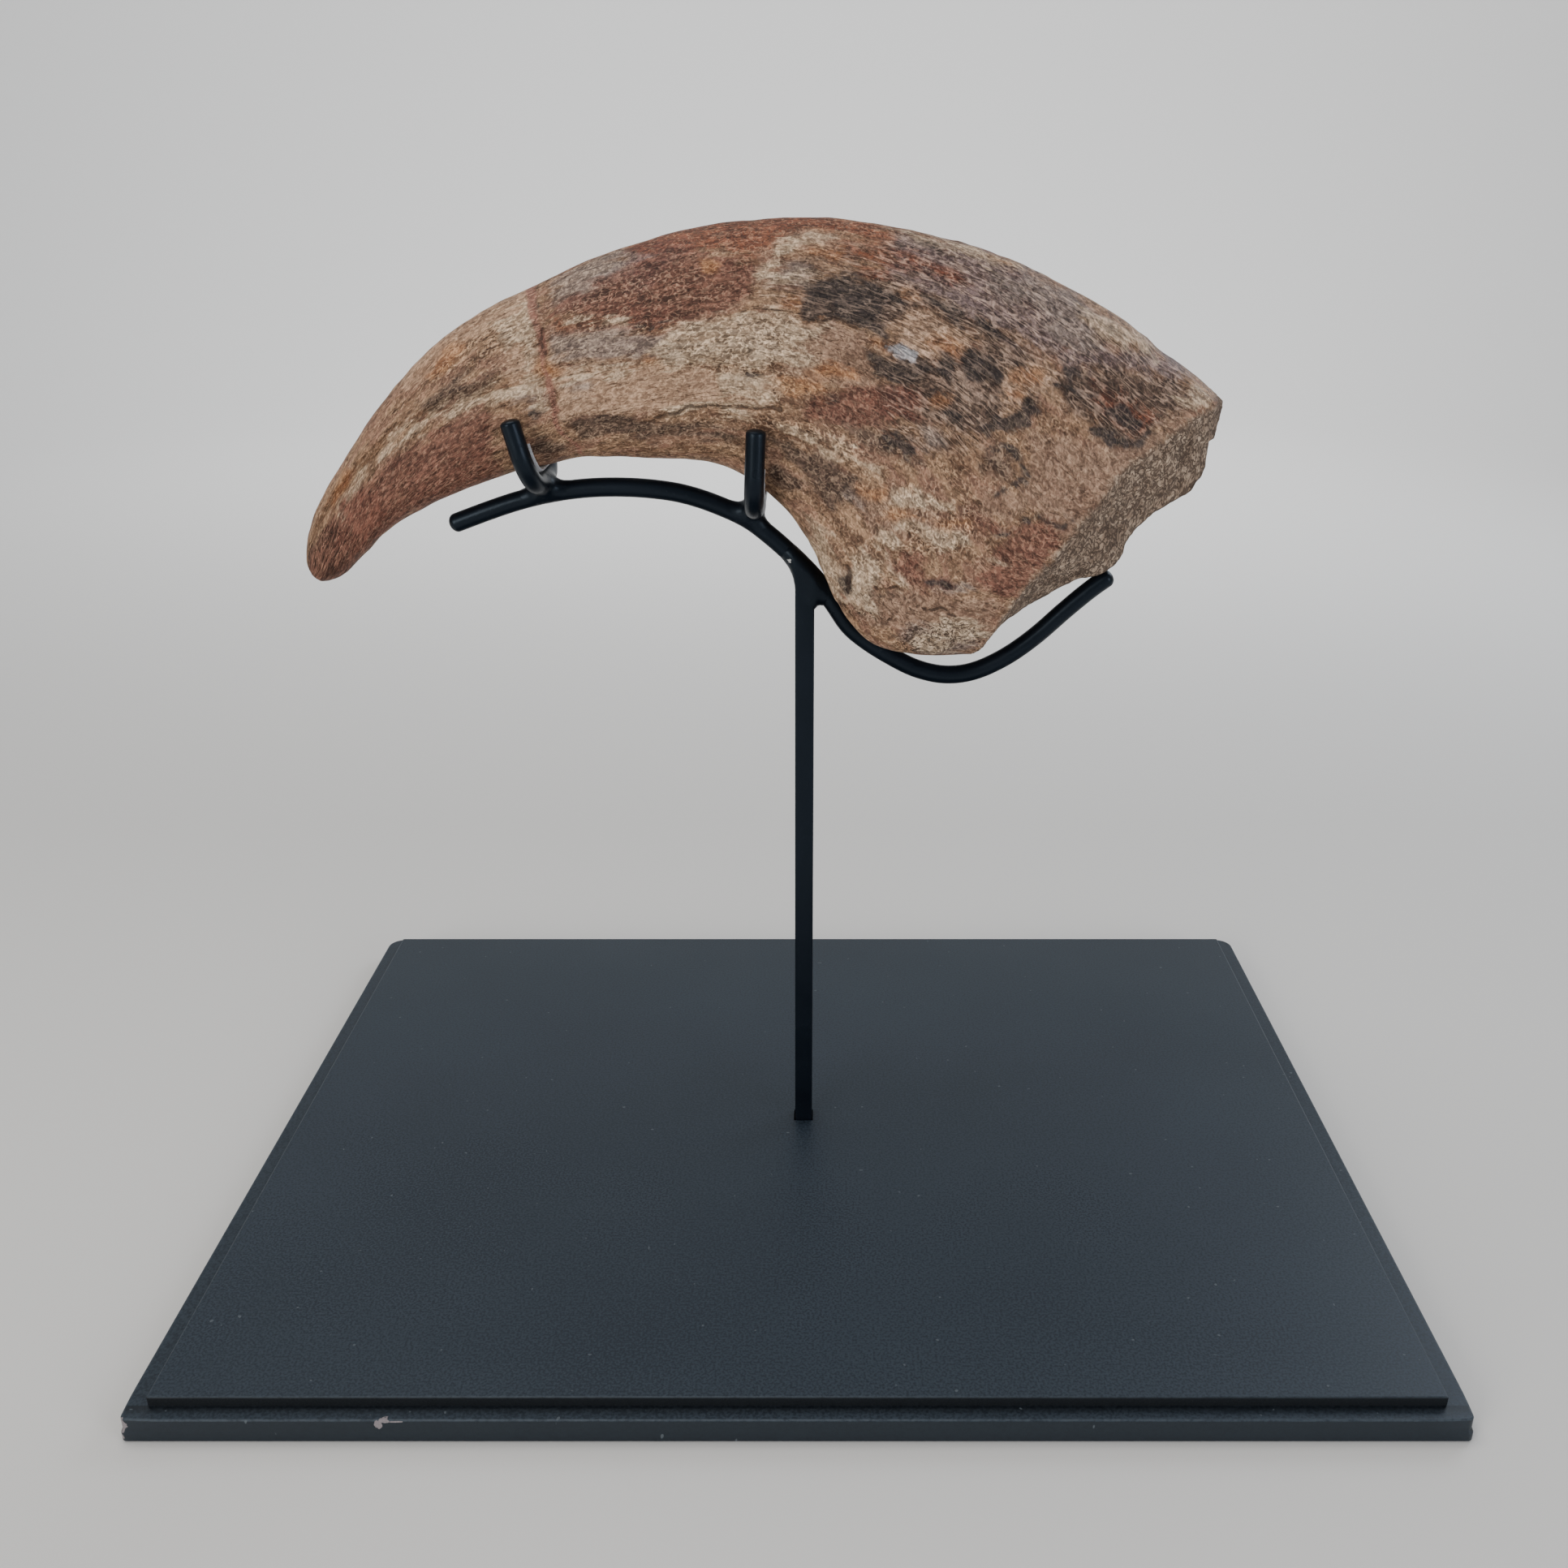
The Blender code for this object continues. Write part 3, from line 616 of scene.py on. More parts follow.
def weld_bead(name, centre, fields, fillet, finish):
    """Skin of the fillet between two bars, found by looking outwards from a point inside both."""
    work = bmesh.new()
    bmesh.ops.create_icosphere(work, subdivisions=5, radius=1.0)
    ways = np.array([v.co.normalized()[:] for v in work.verts])
    centre = np.array(centre)
    reach = np.zeros(len(ways))
    inside = np.ones(len(ways), bool)
    for radius in np.linspace(FILLET_START, FILLET_REACH, FILLET_READS):
        points = centre + ways * radius
        first, second = (field(points) for field in fields)
        overlap = np.clip(fillet - np.abs(first - second), 0, None)
        joined = np.minimum(first, second) - overlap**2 / (4 * fillet) + FILLET_SINK * (overlap <= 0)
        inside &= joined < 0
        reach[inside] = radius
    for vertex, way, radius in zip(work.verts, ways, reach):
        vertex.co = centre + way * radius
    every_way = {"use_axis_x": True, "use_axis_y": True, "use_axis_z": True}
    bmesh.ops.smooth_vert(work, verts=work.verts, factor=0.5, **every_way)
    mesh = bpy.data.meshes.new(name)
    work.to_mesh(mesh)
    work.free()
    return place(name, mesh, finish, 60)


for clip in CLIPS:
    line = clip_line(clip)
    foot, up = clip_directions(clip)
    bar = round_bar("u_clip_" + clip.name, line, ROD_RADIUS, up.cross(ACROSS), black, CLIP_NOSE)
    below = min(rod_line, key=lambda p: (p[0] - foot.x) ** 2 + (p[2] - foot.z) ** 2)
    middle = (foot + Vector(below)) / 2
    bead = weld_bead("clip_weld_" + clip.name, middle, [bar_field(line), bar_field(rod_line)], FILLET, black)
    for piece in (bar, bead):
        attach(piece, "root")
    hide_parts("clip_" + clip.name)


# Post: 3/16 inch square steel bar that stands in the board's socket, a little out of plumb, and
# carries the cradle on a weld at its head. One flake of paint is off the weld, on its left.
POST_HEAD = Vector((0.0010, 0, 0.1745))
POST_ARRIS = 0.00045
POST_ARRIS_CUTS = 4
POST_CUTS = 40
TRIM_STEP = 1e-6
POST_FILLET = 0.0042
POST_CROTCH = 0.9
POST_CHIP = Chip(-0.0026, -0.0024, 0.1752, 0.0007, 0.0006)
TAP_PLAY = 0.0002
TAP_PAST = 0.0006


def post_axis(z):
    """Where the middle of the post is, in x, at some height."""
    return POST_FOOT.x + (POST_HEAD.x - POST_FOOT.x) * (z - SOCKET_FLOOR) / (POST_HEAD.z - SOCKET_FLOOR)


def post_field(points):
    """Distance of points from the skin of the square bar, below the rod that it carries."""
    half = POST_SIDE / 2 - POST_ARRIS
    dx = np.abs(points[:, 0] - post_axis(points[:, 2])) - half
    dy = np.abs(points[:, 1]) - half
    dz = points[:, 2] - np.interp(points[:, 0], rod_line[:, 0], rod_line[:, 2])
    outside = np.linalg.norm(np.maximum(np.stack([dx, dy, dz], axis=1), 0), axis=1)
    return outside + np.minimum(np.maximum(np.maximum(dx, dy), dz), 0) - POST_ARRIS


black_chipped = satin_black("satin_black_paint_chipped", POST_CHIP)
section = []
for turn in range(4):
    section += rounded_corner(turn, POST_SIDE / 2, POST_SIDE / 2, POST_ARRIS, POST_ARRIS_CUTS)
post_rings = []
for k in range(POST_CUTS + 1):
    level = SOCKET_FLOOR + SOCKET_PLAY + (POST_HEAD.z - SOCKET_FLOOR) * k / POST_CUTS
    ring = []
    for x, y in section:
        at_x = x + post_axis(level)
        ceiling = np.interp(at_x, rod_line[:, 0], rod_line[:, 2])
        ring.append((at_x, y, min(level, ceiling - (POST_CUTS - k) * TRIM_STEP)))
    post_rings.append(ring)
post = place("square_post", mesh_of_rings("square_post", post_rings), black, 50)
tap_radius = SCREW_SHANK_RADIUS + TAP_PLAY
tapped = [(tap_radius, 0.0), (tap_radius, SCREW_SINK + SCREW_LENGTH + TAP_PAST)]
cut_out(post, turned("tapped_hole", POST_FOOT, tapped, black))
head_z = float(np.interp(POST_HEAD.x, rod_line[:, 0], rod_line[:, 2]))
crotch = Vector((POST_HEAD.x, 0, head_z - ROD_RADIUS * POST_CROTCH))
post_bead = weld_bead("post_weld", crotch, [post_field, bar_field(rod_line)], POST_FILLET, black_chipped)
for piece in (post, post_bead):
    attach(piece, "root")
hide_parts("post")


# Liners: thin strips of pale grey felt glued inside the two clips, so that the steel doesn't touch
# the fossil. They are cut by hand and show as a light edge beside each front arm.
LINER_THICKNESS = 0.0005
LINER_WIDTH = 0.0048
LINER_GAP = 0.0003
LINER_ARM_SHARE = 0.12
LINER_CUTS = 16
LINER_EDGE = 0.5
LINER_FACE = 0.7
LINER_FRAY = 0.04
LINER_FRAY_SIZE = 0.0005
FELT_DARK = (158, 160, 164)
FELT_LIGHT = (208, 209, 212)


def pale_felt():
    finish, tree, shader = new_finish("pale_felt", 0.95, 0.2)
    shader.inputs["Sheen Weight"].default_value = 0.4
    shader.inputs["Sheen Roughness"].default_value = 0.6
    fuzz = cloudy(object_place(tree), 0.00022, 4, 0.8)
    feed(shader, "Base Color", blended(between(fuzz, 0.3, 0.7), FELT_DARK, FELT_LIGHT))
    feed(shader, "Normal", raised(fuzz, 0.00012))
    return finish


def felt_strip(name, path, sideways, finish):
    """Strip along a path, with soft long edges, rounded in section."""
    rings = []
    for k, point in enumerate(path):
        forward = (path[min(k + 1, len(path) - 1)] - path[max(k - 1, 0)]).normalized()
        out = sideways.cross(forward).normalized()
        ring = []
        for j, angle in enumerate(circle_of(LINER_CUTS)):
            wide = math.copysign(abs(math.cos(angle)) ** LINER_EDGE, math.cos(angle)) * LINER_WIDTH / 2
            thick = math.copysign(abs(math.sin(angle)) ** LINER_FACE, math.sin(angle)) * LINER_THICKNESS / 2
            fray = 1 + LINER_FRAY * noise.noise(point / LINER_FRAY_SIZE + Vector((j, 0, 0)))
            ring.append(point + sideways * wide * fray + out * thick)
        rings.append(ring)
    return place(name, mesh_of_rings(name, rings), finish, 50)


felt = pale_felt()
for clip in CLIPS:
    foot, up = clip_directions(clip)
    inset = ROD_RADIUS + LINER_GAP + LINER_THICKNESS / 2
    path = clip_line(clip, inset, LINER_ARM_SHARE)
    strip = felt_strip("felt_liner_" + clip.name, path, up.cross(ACROSS), felt)
    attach(strip, "root")
    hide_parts("liner_" + clip.name)


# Claw: the mineralised end bone of a large theropod's finger, one piece. Its sections run from the
# worn tip to the broken joint end. Each joins a point of the back (dorsal x, z) to a point of the
# belly (ventral x, z), with half the thickness there and how blunt the belly edge is.
Section = namedtuple("Section", "dorsal_x dorsal_z ventral_x ventral_z half blunt")
SECTIONS = [
    Section(-0.1232, 0.1716, -0.1232, 0.1716, 0.0000, 2.0),
    Section(-0.1243, 0.1752, -0.1209, 0.1694, 0.0034, 2.0),
    Section(-0.1227, 0.1825, -0.1162, 0.1708, 0.0052, 2.1),
    Section(-0.1180, 0.1915, -0.1105, 0.1757, 0.0064, 2.2),
    Section(-0.1084, 0.2046, -0.1025, 0.1829, 0.0080, 2.3),
    Section(-0.0992, 0.2157, -0.0940, 0.1878, 0.0093, 2.4),
    Section(-0.0905, 0.2242, -0.0855, 0.1917, 0.0103, 2.4),
    Section(-0.0821, 0.2306, -0.0772, 0.1948, 0.0111, 2.4),
    Section(-0.0720, 0.2364, -0.0692, 0.1973, 0.0117, 2.4),
    Section(-0.0614, 0.2408, -0.0612, 0.1990, 0.0122, 2.4),
    Section(-0.0502, 0.2459, -0.0535, 0.2007, 0.0128, 2.4),
    Section(-0.0387, 0.2496, -0.0450, 0.2007, 0.0134, 2.4),
    Section(-0.0250, 0.2533, -0.0360, 0.2004, 0.0140, 2.4),
    Section(-0.0100, 0.2551, -0.0270, 0.2001, 0.0146, 2.5),
    Section(0.0050, 0.2556, -0.0180, 0.1984, 0.0153, 2.6),
    Section(0.0200, 0.2539, -0.0097, 0.1937, 0.0162, 2.8),
    Section(0.0350, 0.2508, -0.0029, 0.1873, 0.0172, 3.2),
    Section(0.0500, 0.2462, 0.0030, 0.1790, 0.0181, 4.2),
    Section(0.0630, 0.2404, 0.0076, 0.1704, 0.0186, 6.0),
    Section(0.0762, 0.2334, 0.0127, 0.1625, 0.0188, 7.0),
    Section(0.0860, 0.2260, 0.0196, 0.1559, 0.0188, 7.0),
    Section(0.0945, 0.2206, 0.0292, 0.1530, 0.0186, 6.5),
    Section(0.1024, 0.2140, 0.0403, 0.1527, 0.0184, 5.0),
]
JOINT_OUTLINE = [
    (0.0403, 0.1527), (0.0448, 0.1545), (0.0525, 0.1606), (0.0605, 0.1661), (0.0685, 0.1705),
    (0.0760, 0.1726), (0.0799, 0.1768), (0.0812, 0.1812), (0.0870, 0.1875), (0.0965, 0.1932),
    (0.1000, 0.1980), (0.1008, 0.2060), (0.1024, 0.2140),
]
SPONGE_LINE = [
    (0.0452, 0.1560), (0.0494, 0.1640), (0.0540, 0.1717), (0.0586, 0.1768), (0.0625, 0.1817),
    (0.0686, 0.1902), (0.0730, 0.1958), (0.0767, 0.2006), (0.0844, 0.2055), (0.0912, 0.2102),
    (0.0990, 0.2138),
]
JOINT_BULGE_FROM = 13
FRONT_EDGE_SHARE = 0.24
BACK_EDGE_SHARE = 0.66
BACK_SPONGE_WIDTH = 0.0060
JOINT_HOLLOW = 0.0030
HEEL_LOBE = 0.040
HEEL_LOBE_AT = 19.2
HEEL_LOBE_REACH = 2.2
GROOVE_ACROSS = [
    (2, 0.62), (3, 0.60), (4, 0.50), (5, 0.36), (6, 0.24), (7, 0.16), (8, 0.09), (9, 0.02),
    (10, -0.06), (12, -0.12), (14, -0.18), (16, -0.22),
]
GROOVE_DEPTH = 0.0011
GROOVE_WIDTH = 0.085
GROOVE_FADE = (1.5, 3.5, 11.0, 15.5)
RIDGE_HEIGHT = 0.0007
RIDGE_ABOVE = 0.14
SWELL = 0.0006
SWELL_SIZE = 0.016
SWELL_PLANE = 0.03
BACK_BLUNT = 2.2
CLAW_ROWS = 330
CLAW_TURNS = 140
FLANK_CROWDING = 0.11
JOINT_CROWDING = 0.9
JOINT_CROWDING_FROM = 18.5
JOINT_CROWDING_OVER = 1.5
TIP_CROWDING = 0.8
TIP_CROWDING_TO = 2
JOINT_FACE_STRIPS = 24
FINE_STATIONS = 3000
LINE_STEP = 0.001
MM = 0.001


def step_up(value, low, high):
    """Soft step from 0 where the value is under low to 1 where it is over high."""
    share = np.clip((value - low) / (high - low), 0, 1)
    return share * share * (3 - 2 * share)


def lumps(points, size, shift=0.0):
    """Smooth noise from -1 to 1 at many points, with lumps of about the given size."""
    moved = np.asarray(points) / size + shift
    return np.array([noise.noise(p) for p in moved.reshape(-1, 3).tolist()]).reshape(moved.shape[:-1])


heel_point = np.array(JOINT_OUTLINE[0])
crown_point = np.array(JOINT_OUTLINE[-1])
joint_length = np.linalg.norm(crown_point - heel_point)
joint_up = (crown_point - heel_point) / joint_length
joint_out = np.array([joint_up[1], -joint_up[0]])


def in_joint_frame(points):
    """(distance up the joint face, distance out from its chord) of points of the side plane."""
    offset = np.asarray(points, float) - heel_point
    return np.stack([offset @ joint_up, offset @ joint_out], axis=-1)


joint_edge = in_joint_frame(even_steps(JOINT_OUTLINE, LINE_STEP))
sponge_edge = in_joint_frame(even_steps(SPONGE_LINE, LINE_STEP))
last_station = len(SECTIONS) - 1
fine_stations = np.linspace(0, last_station, FINE_STATIONS)
fine_rows = smooth_read(SECTIONS, fine_stations)
fine_middle = (fine_rows[:, 0:2] + fine_rows[:, 2:4]) / 2
joint_crowd = JOINT_CROWDING * np.clip((fine_stations - JOINT_CROWDING_FROM) / JOINT_CROWDING_OVER, 0, 1)
tip_crowd = TIP_CROWDING * np.clip(TIP_CROWDING_TO - fine_stations, 0, 1)
steps = np.linalg.norm(np.diff(fine_middle, axis=0), axis=1) * (1 + joint_crowd + tip_crowd)[1:]
weighted = np.concatenate([[0], np.cumsum(steps)])
stations = np.interp(np.linspace(0, weighted[-1], CLAW_ROWS + 1)[1:], weighted, fine_stations)
turn_share = np.linspace(0, 1, CLAW_TURNS + 1)
angles = math.pi * turn_share + FLANK_CROWDING * np.sin(2 * math.pi * turn_share)
rows = smooth_read(SECTIONS, stations)


def claw_side(front):
    """Skin points of one side, rows of stations by turns from the belly to the back."""
    station = stations[:, None]
    across = np.broadcast_to(-np.cos(angles), (CLAW_ROWS, CLAW_TURNS + 1))
    sine = np.sin(np.clip(angles, 0, math.pi))
    near = np.clip(1 - ((station - HEEL_LOBE_AT) / HEEL_LOBE_REACH) ** 2, 0, None) ** 2
    lobe = HEEL_LOBE * near * 2 * np.sqrt(np.maximum(sine, 0)) * np.cos(angles) ** 3
    pushed = np.where(across < 0, across - lobe, across)
    share = ((1 + pushed) / 2)[..., None]
    flat = rows[:, None, 2:4] * (1 - share) + rows[:, None, 0:2] * share
    bulge = step_up(station, JOINT_BULGE_FROM, last_station)
    out = np.interp(share[..., 0] * joint_length, joint_edge[:, 0], joint_edge[:, 1]) * bulge
    flat = flat + out[..., None] * joint_out
    blunt = np.where(across < 0, rows[:, None, 5], BACK_BLUNT)
    thick = np.maximum(rows[:, None, 4], 0) * sine ** (2 / blunt)
    strength = np.interp(station, GROOVE_FADE, [0, 1, 1, 0])
    groove = np.array(GROOVE_ACROSS)
    centre = np.interp(station, groove[:, 0], groove[:, 1])
    dip = np.exp(-(((across - centre) / GROOVE_WIDTH) ** 2))
    lip = np.exp(-(((across - centre - RIDGE_ABOVE) / GROOVE_WIDTH) ** 2))
    thick = thick + strength * (RIDGE_HEIGHT * lip - GROOVE_DEPTH * dip)
    side = -1 if front else 1
    at = np.stack([flat[..., 0], np.full(thick.shape, side * SWELL_PLANE), flat[..., 1]], axis=-1)
    thick = thick + SWELL * lumps(at, SWELL_SIZE) * sine
    up, reach = np.moveaxis(in_joint_frame(flat), -1, 0)
    rim = np.interp(up, joint_edge[:, 0], joint_edge[:, 1])
    line = np.interp(up, sponge_edge[:, 0], sponge_edge[:, 1]) if front else rim - BACK_SPONGE_WIDTH
    least = FRONT_EDGE_SHARE if front else BACK_EDGE_SHARE
    keep = least + (1 - least) * np.clip((rim - reach) / np.maximum(rim - line, 1e-4), 0, 1)
    thick = np.maximum(thick, 0) * keep
    thick[:, [0, -1]] = 0
    return np.stack([flat[..., 0], side * thick, flat[..., 1]], axis=-1)


front_skin = claw_side(True)
back_skin = claw_side(False)
skin = np.concatenate([front_skin, back_skin[:, -2:0:-1]], axis=1)
around = skin.shape[1]

# Grain of the bone: how far along the claw, and how far round it from a line high on the flank, in
# millimetres. Streaks, wrinkles and ragged edges of the stains all follow it.
GRAIN_ZERO_STATION = 11.0
GRAIN_ZERO_SHARE = 0.72
GRAIN_THICKNESS_SHARE = 0.6
NOMINAL_GIRTH = 0.060


def arc_lengths(points, axis):
    """Distance run along the lines of a grid of points, from 0 at their start."""
    gaps = np.linalg.norm(np.diff(points, axis=axis), axis=-1)
    start = np.zeros_like(np.take(gaps, [0], axis=axis))
    return np.concatenate([start, np.cumsum(gaps, axis=axis)], axis=axis)


def grain_of(side):
    along = arc_lengths(side, 0)
    zero = np.argmin(np.abs(stations - GRAIN_ZERO_STATION))
    along = along - along[zero]
    girth = arc_lengths(side, 1)
    whole = girth[:, -1:]
    over = (girth / whole - GRAIN_ZERO_SHARE) * np.sqrt(whole * NOMINAL_GIRTH)
    return np.stack([along, over, side[..., 1] * GRAIN_THICKNESS_SHARE], axis=-1) / MM


front_grain = grain_of(front_skin)
back_grain = grain_of(back_skin)
grain = np.concatenate([front_grain, back_grain[:, -2:0:-1]], axis=1)

# Stains and scars, placed on the viewer's side in millimetres of the middle plane. A spot is
# (x, z, half length, half width, tilt in degrees); a trail is (half width, points); a field is a
# closed outline. The far side has the same kinds of stain, but they stray from these places.
Marks = namedtuple("Marks", "spots trails fields", defaults=((), (), ()))
MARKS = {
    "fawn": Marks(
        spots=[(-65, 222, 3.6, 7, 0), (65, 202, 7, 4, -60)],
        fields=[
            [(-97, 219), (-84, 232), (-70, 240), (-62, 243), (-61, 232), (-72, 230), (-84, 223), (-93, 217)],
            [(-57, 224), (-40, 224), (-20, 223), (-4, 222), (-6, 214), (-20, 215), (-40, 212), (-56, 212)],
            [(25, 236), (33, 234.5), (40, 231), (41, 228), (36, 226), (28, 226), (24, 230)],
            [(48, 223), (56, 225), (60, 222), (56, 219), (53, 215), (46, 216)],
        ],
    ),
    "sand": Marks(
        fields=[
            [(53, 208), (62, 208), (72, 205), (86, 209), (90, 214), (94, 210), (80, 202), (70, 192),
             (64, 184), (56, 191), (42, 189), (42, 195), (53, 196), (54, 203)],
            [(2, 233), (15, 231), (17, 225), (17, 219), (4, 219), (-4, 221), (-4, 226), (0, 229)],
            [(12, 168), (24, 171), (38, 170), (50, 168), (46, 160), (30, 162), (18, 162), (12, 165)],
            [(12, 196), (22, 196), (34, 190), (40, 186), (20, 184), (14, 190)],
        ],
    ),
    "brown": Marks(
        spots=[
            (-4, 197, 4, 2.4, -45), (16, 209, 9, 2, -22), (-61, 203.6, 4, 2.4, 0), (22, 170, 8, 1, -6),
            (-50, 214.6, 5, 1.8, 0), (74, 222, 7, 1.8, -24), (46, 202, 5, 3, -30), (38, 237.4, 4, 2, -30),
            (36, 214, 8, 3, -12),
        ],
        trails=[(1.2, [(14, 210), (22, 206.6), (28, 202)]), (1.0, [(38, 239), (46, 235), (54, 230)])],
        fields=[
            [(-56, 212), (-44, 214), (-34, 211), (-20, 209.6), (-15, 209), (-15, 206.4), (-22, 206.6),
             (-36, 206.6), (-52, 207)],
            [(-90, 214), (-84, 218.6), (-77, 221.4), (-70, 222.6), (-70, 219.6), (-80, 215.6), (-88, 211.6)],
            [(-8, 209), (0, 205), (8, 203), (14, 199), (16, 193), (8, 190), (3, 196), (-2, 201)],
            [(0, 243), (16, 244), (28, 241), (37, 237), (50, 230), (56, 224), (48, 215), (44, 208),
             (34, 211), (24, 213), (22, 220), (30, 224), (42, 228), (40, 231), (27, 236), (18, 231),
             (2, 235)],
            [(58, 220), (64, 222.4), (76, 221.6), (88, 220), (95, 216), (87, 211.6), (80, 205.4),
             (68, 207.6), (70, 212.4), (62, 215.6)],
        ],
    ),
    "mauve": Marks(
        fields=[
            [(22, 253), (40, 249.5), (52, 245), (64, 239), (72, 233), (66, 229), (58, 226), (50, 229),
             (42, 234), (30, 240), (20, 244)],
            [(58, 227), (68, 230), (78, 226.6), (90, 224), (96, 220), (88, 221), (78, 222.6), (70, 223.4),
             (62, 223)],
            [(-46, 243), (-36, 250), (-26, 251), (-28, 245), (-36, 240)],
        ],
    ),
    "rust": Marks(
        spots=[
            (22, 216, 7, 3, -8), (30, 245, 8, 1.4, -14), (-12, 252.6, 6, 1.6, 0), (-108, 186, 9, 5, 55),
            (76, 214, 8, 2.6, -25),
        ],
        trails=[(0.9, [(8, 248), (13, 246.6), (20, 243.6)]), (0.8, [(-50, 233), (-42, 234.6), (-34, 234.4)])],
        fields=[
            [(-40, 249), (-30, 253), (-15, 256.4), (0, 257), (14, 255.6), (24, 252.6), (22, 249),
             (14, 250.6), (8, 252), (0, 252.6), (-6, 250.6), (-10, 247.6), (-16, 249), (-26, 248),
             (-36, 246)],
            [(10, 249), (20, 246), (30, 243.4), (26, 246.6), (18, 249.4)],
            [(-57, 235), (-46, 236), (-36, 238), (-27, 236), (-27, 232.4), (-40, 231.8), (-56, 231.6)],
        ],
    ),
    "wine": Marks(
        spots=[
            (34, 173, 3, 1.4, 5), (46, 187.5, 6, 1.3, -22), (13, 214.6, 5, 1, -14), (-105, 188.4, 5, 2.2, 50),
            (-20, 246.4, 6, 2, 10),
        ],
        trails=[(0.9, [(5, 218), (10, 216.6), (16, 217)])],
        fields=[
            [(-58, 235.6), (-44, 234), (-27.5, 232.6), (-18, 235), (-12, 239), (-9, 246.4), (-16, 249),
             (-28, 250), (-38, 246), (-46, 240.6), (-56, 238.4)],
            [(-124, 170), (-116, 167), (-104, 181), (-94, 187), (-82, 192), (-73, 196), (-73, 204),
             (-74, 212.6), (-80, 211.4), (-90, 207), (-101, 200), (-110, 193), (-116, 186), (-122, 178)],
            [(42.5, 174), (46, 177), (46, 181), (50, 185), (56, 188.6), (63.4, 187), (62, 181), (56, 175),
             (49.6, 169)],
            [(22.5, 178), (25, 180.6), (29.4, 180.4), (30, 176), (29, 172), (24, 174.4)],
            [(1.6, 213), (4, 217.6), (14, 219.6), (20, 220.4), (27, 218.4), (29, 213.6), (20, 211.4),
             (8, 211)],
        ],
    ),
    "grey": Marks(
        spots=[
            (-51, 219, 3, 1.6, 0), (-63, 217, 3, 1.8, 0), (39, 156, 3, 2.4, 0), (12, 193.4, 3, 1, -20),
            (31, 208, 3, 3, 0), (12, 172, 1.6, 2.4, 0), (37, 172, 4, 1.4, 0), (48, 240.4, 5, 1.8, -25),
        ],
        fields=[
            [(-57, 231.6), (-40, 232), (-27, 232), (-25, 227), (-34, 225), (-57, 225.6)],
            [(-58, 241), (-48, 247), (-41, 249), (-40, 243), (-46, 238.6), (-57, 236)],
            [(50, 244.6), (57, 243.6), (66, 238), (73, 231), (68, 227), (60, 229), (55, 235)],
            [(-7, 242), (-4, 246), (2, 248), (6, 245), (-1, 242.4)],
            [(22, 160), (30, 162), (42, 161), (46, 157.6), (40, 153), (30, 153.6)],
        ],
    ),
    "cream": Marks(
        spots=[
            (26.4, 193.4, 4.6, 2.2, -10), (34, 193, 3.4, 1.4, -5), (28, 187, 5, 1.8, -8),
            (35, 184.6, 6, 3, -8), (22, 184, 3, 2.4, 0), (33, 157.6, 6, 3, 0), (39, 161.4, 6, 4, 0),
            (-54, 221, 6, 1.2, 5), (14, 171, 3, 5, 20), (3, 232.6, 3.6, 2.6, 0), (78.6, 229, 4, 1.6, -28),
        ],
        trails=[
            (0.8, [(-113, 188), (-106, 197.7), (-100.4, 203.4), (-95.6, 207)]),
            (1.0, [(-95.6, 207), (-87, 210.8), (-79, 214.8), (-71, 217.8), (-60, 219.4)]),
            (0.7, [(-54, 234.4), (-47, 233.7), (-41, 233.2)]), (0.6, [(-55.5, 220), (-42, 223), (-29, 224)]),
            (0.9, [(-9.6, 243), (-6, 246.2), (-4, 249.6), (2, 251), (7, 250.6)]),
            (0.6, [(-8, 241.6), (0, 244), (6, 245.4)]), (0.9, [(-63, 231), (-62, 224), (-61, 216)]),
            (0.9, [(-30, 213.4), (-20, 214), (-10, 213.4)]),
            (0.5, [(-4, 209.6), (2, 207.8), (8, 206.6), (13, 206)]),
            (1.0, [(7, 204.2), (12, 203.5), (18, 201)]), (1.0, [(9, 167), (13, 168), (18, 166)]),
            (0.4, [(21, 181), (23, 175), (24.6, 171.6)]),
            (0.7, [(20, 252.8), (30, 250.4), (40, 247.8), (52, 244)]), (0.35, [(46, 180), (49, 178)]),
        ],
        fields=[
            [(-30, 233), (-20, 234), (-10, 237), (0, 236.4), (6, 233.4), (4, 230.6), (0, 228), (4, 225.4),
             (0, 223.4), (-14, 223.4), (-30, 223), (-33, 227)],
            [(-18, 222), (-9, 222), (-5, 219), (-5, 215.6), (-9, 214), (-18, 217)],
            [(2.6, 187), (6.6, 184), (10.5, 176), (11, 169), (8, 167.4), (6.5, 173), (3.5, 181)],
            [(13.6, 180), (16.6, 181.6), (19.6, 178.6), (20.6, 174), (17, 171.6), (14.6, 174)],
            [(66, 234.6), (74, 233), (84, 226), (75, 227.6), (69, 230.6)],
            [(89, 216), (94, 217.6), (98, 215.6), (94, 213.4)],
            [(-71, 233), (-62.4, 236), (-61.4, 229), (-68, 228)],
        ],
    ),
    "ochre": Marks(
        spots=[
            (0, 238.4, 3, 1.6, 10), (26, 239, 3, 1.2, -20), (-20, 245.5, 2, 1.8, 0), (53, 222, 4, 1.8, 0),
            (-58.4, 222.6, 2.8, 2, 0), (19, 228.4, 3, 1.2, -10), (49.5, 217.5, 3, 1.3, 0),
            (33, 216.6, 2.4, 1.4, 0), (26, 189.6, 5, 1, -10), (37, 188, 5, 1.2, -10), (-112, 193, 5, 1.4, 58),
            (-83, 224, 6, 2, 34), (17, 195, 3, 1.4, 0), (34, 228.4, 5, 2, -10), (7, 222.6, 6, 1.6, -6),
            (-34.5, 224.2, 2, 1, 0), (1, 219, 6, 2, -8), (3, 236, 4, 2, -5),
        ],
        trails=[
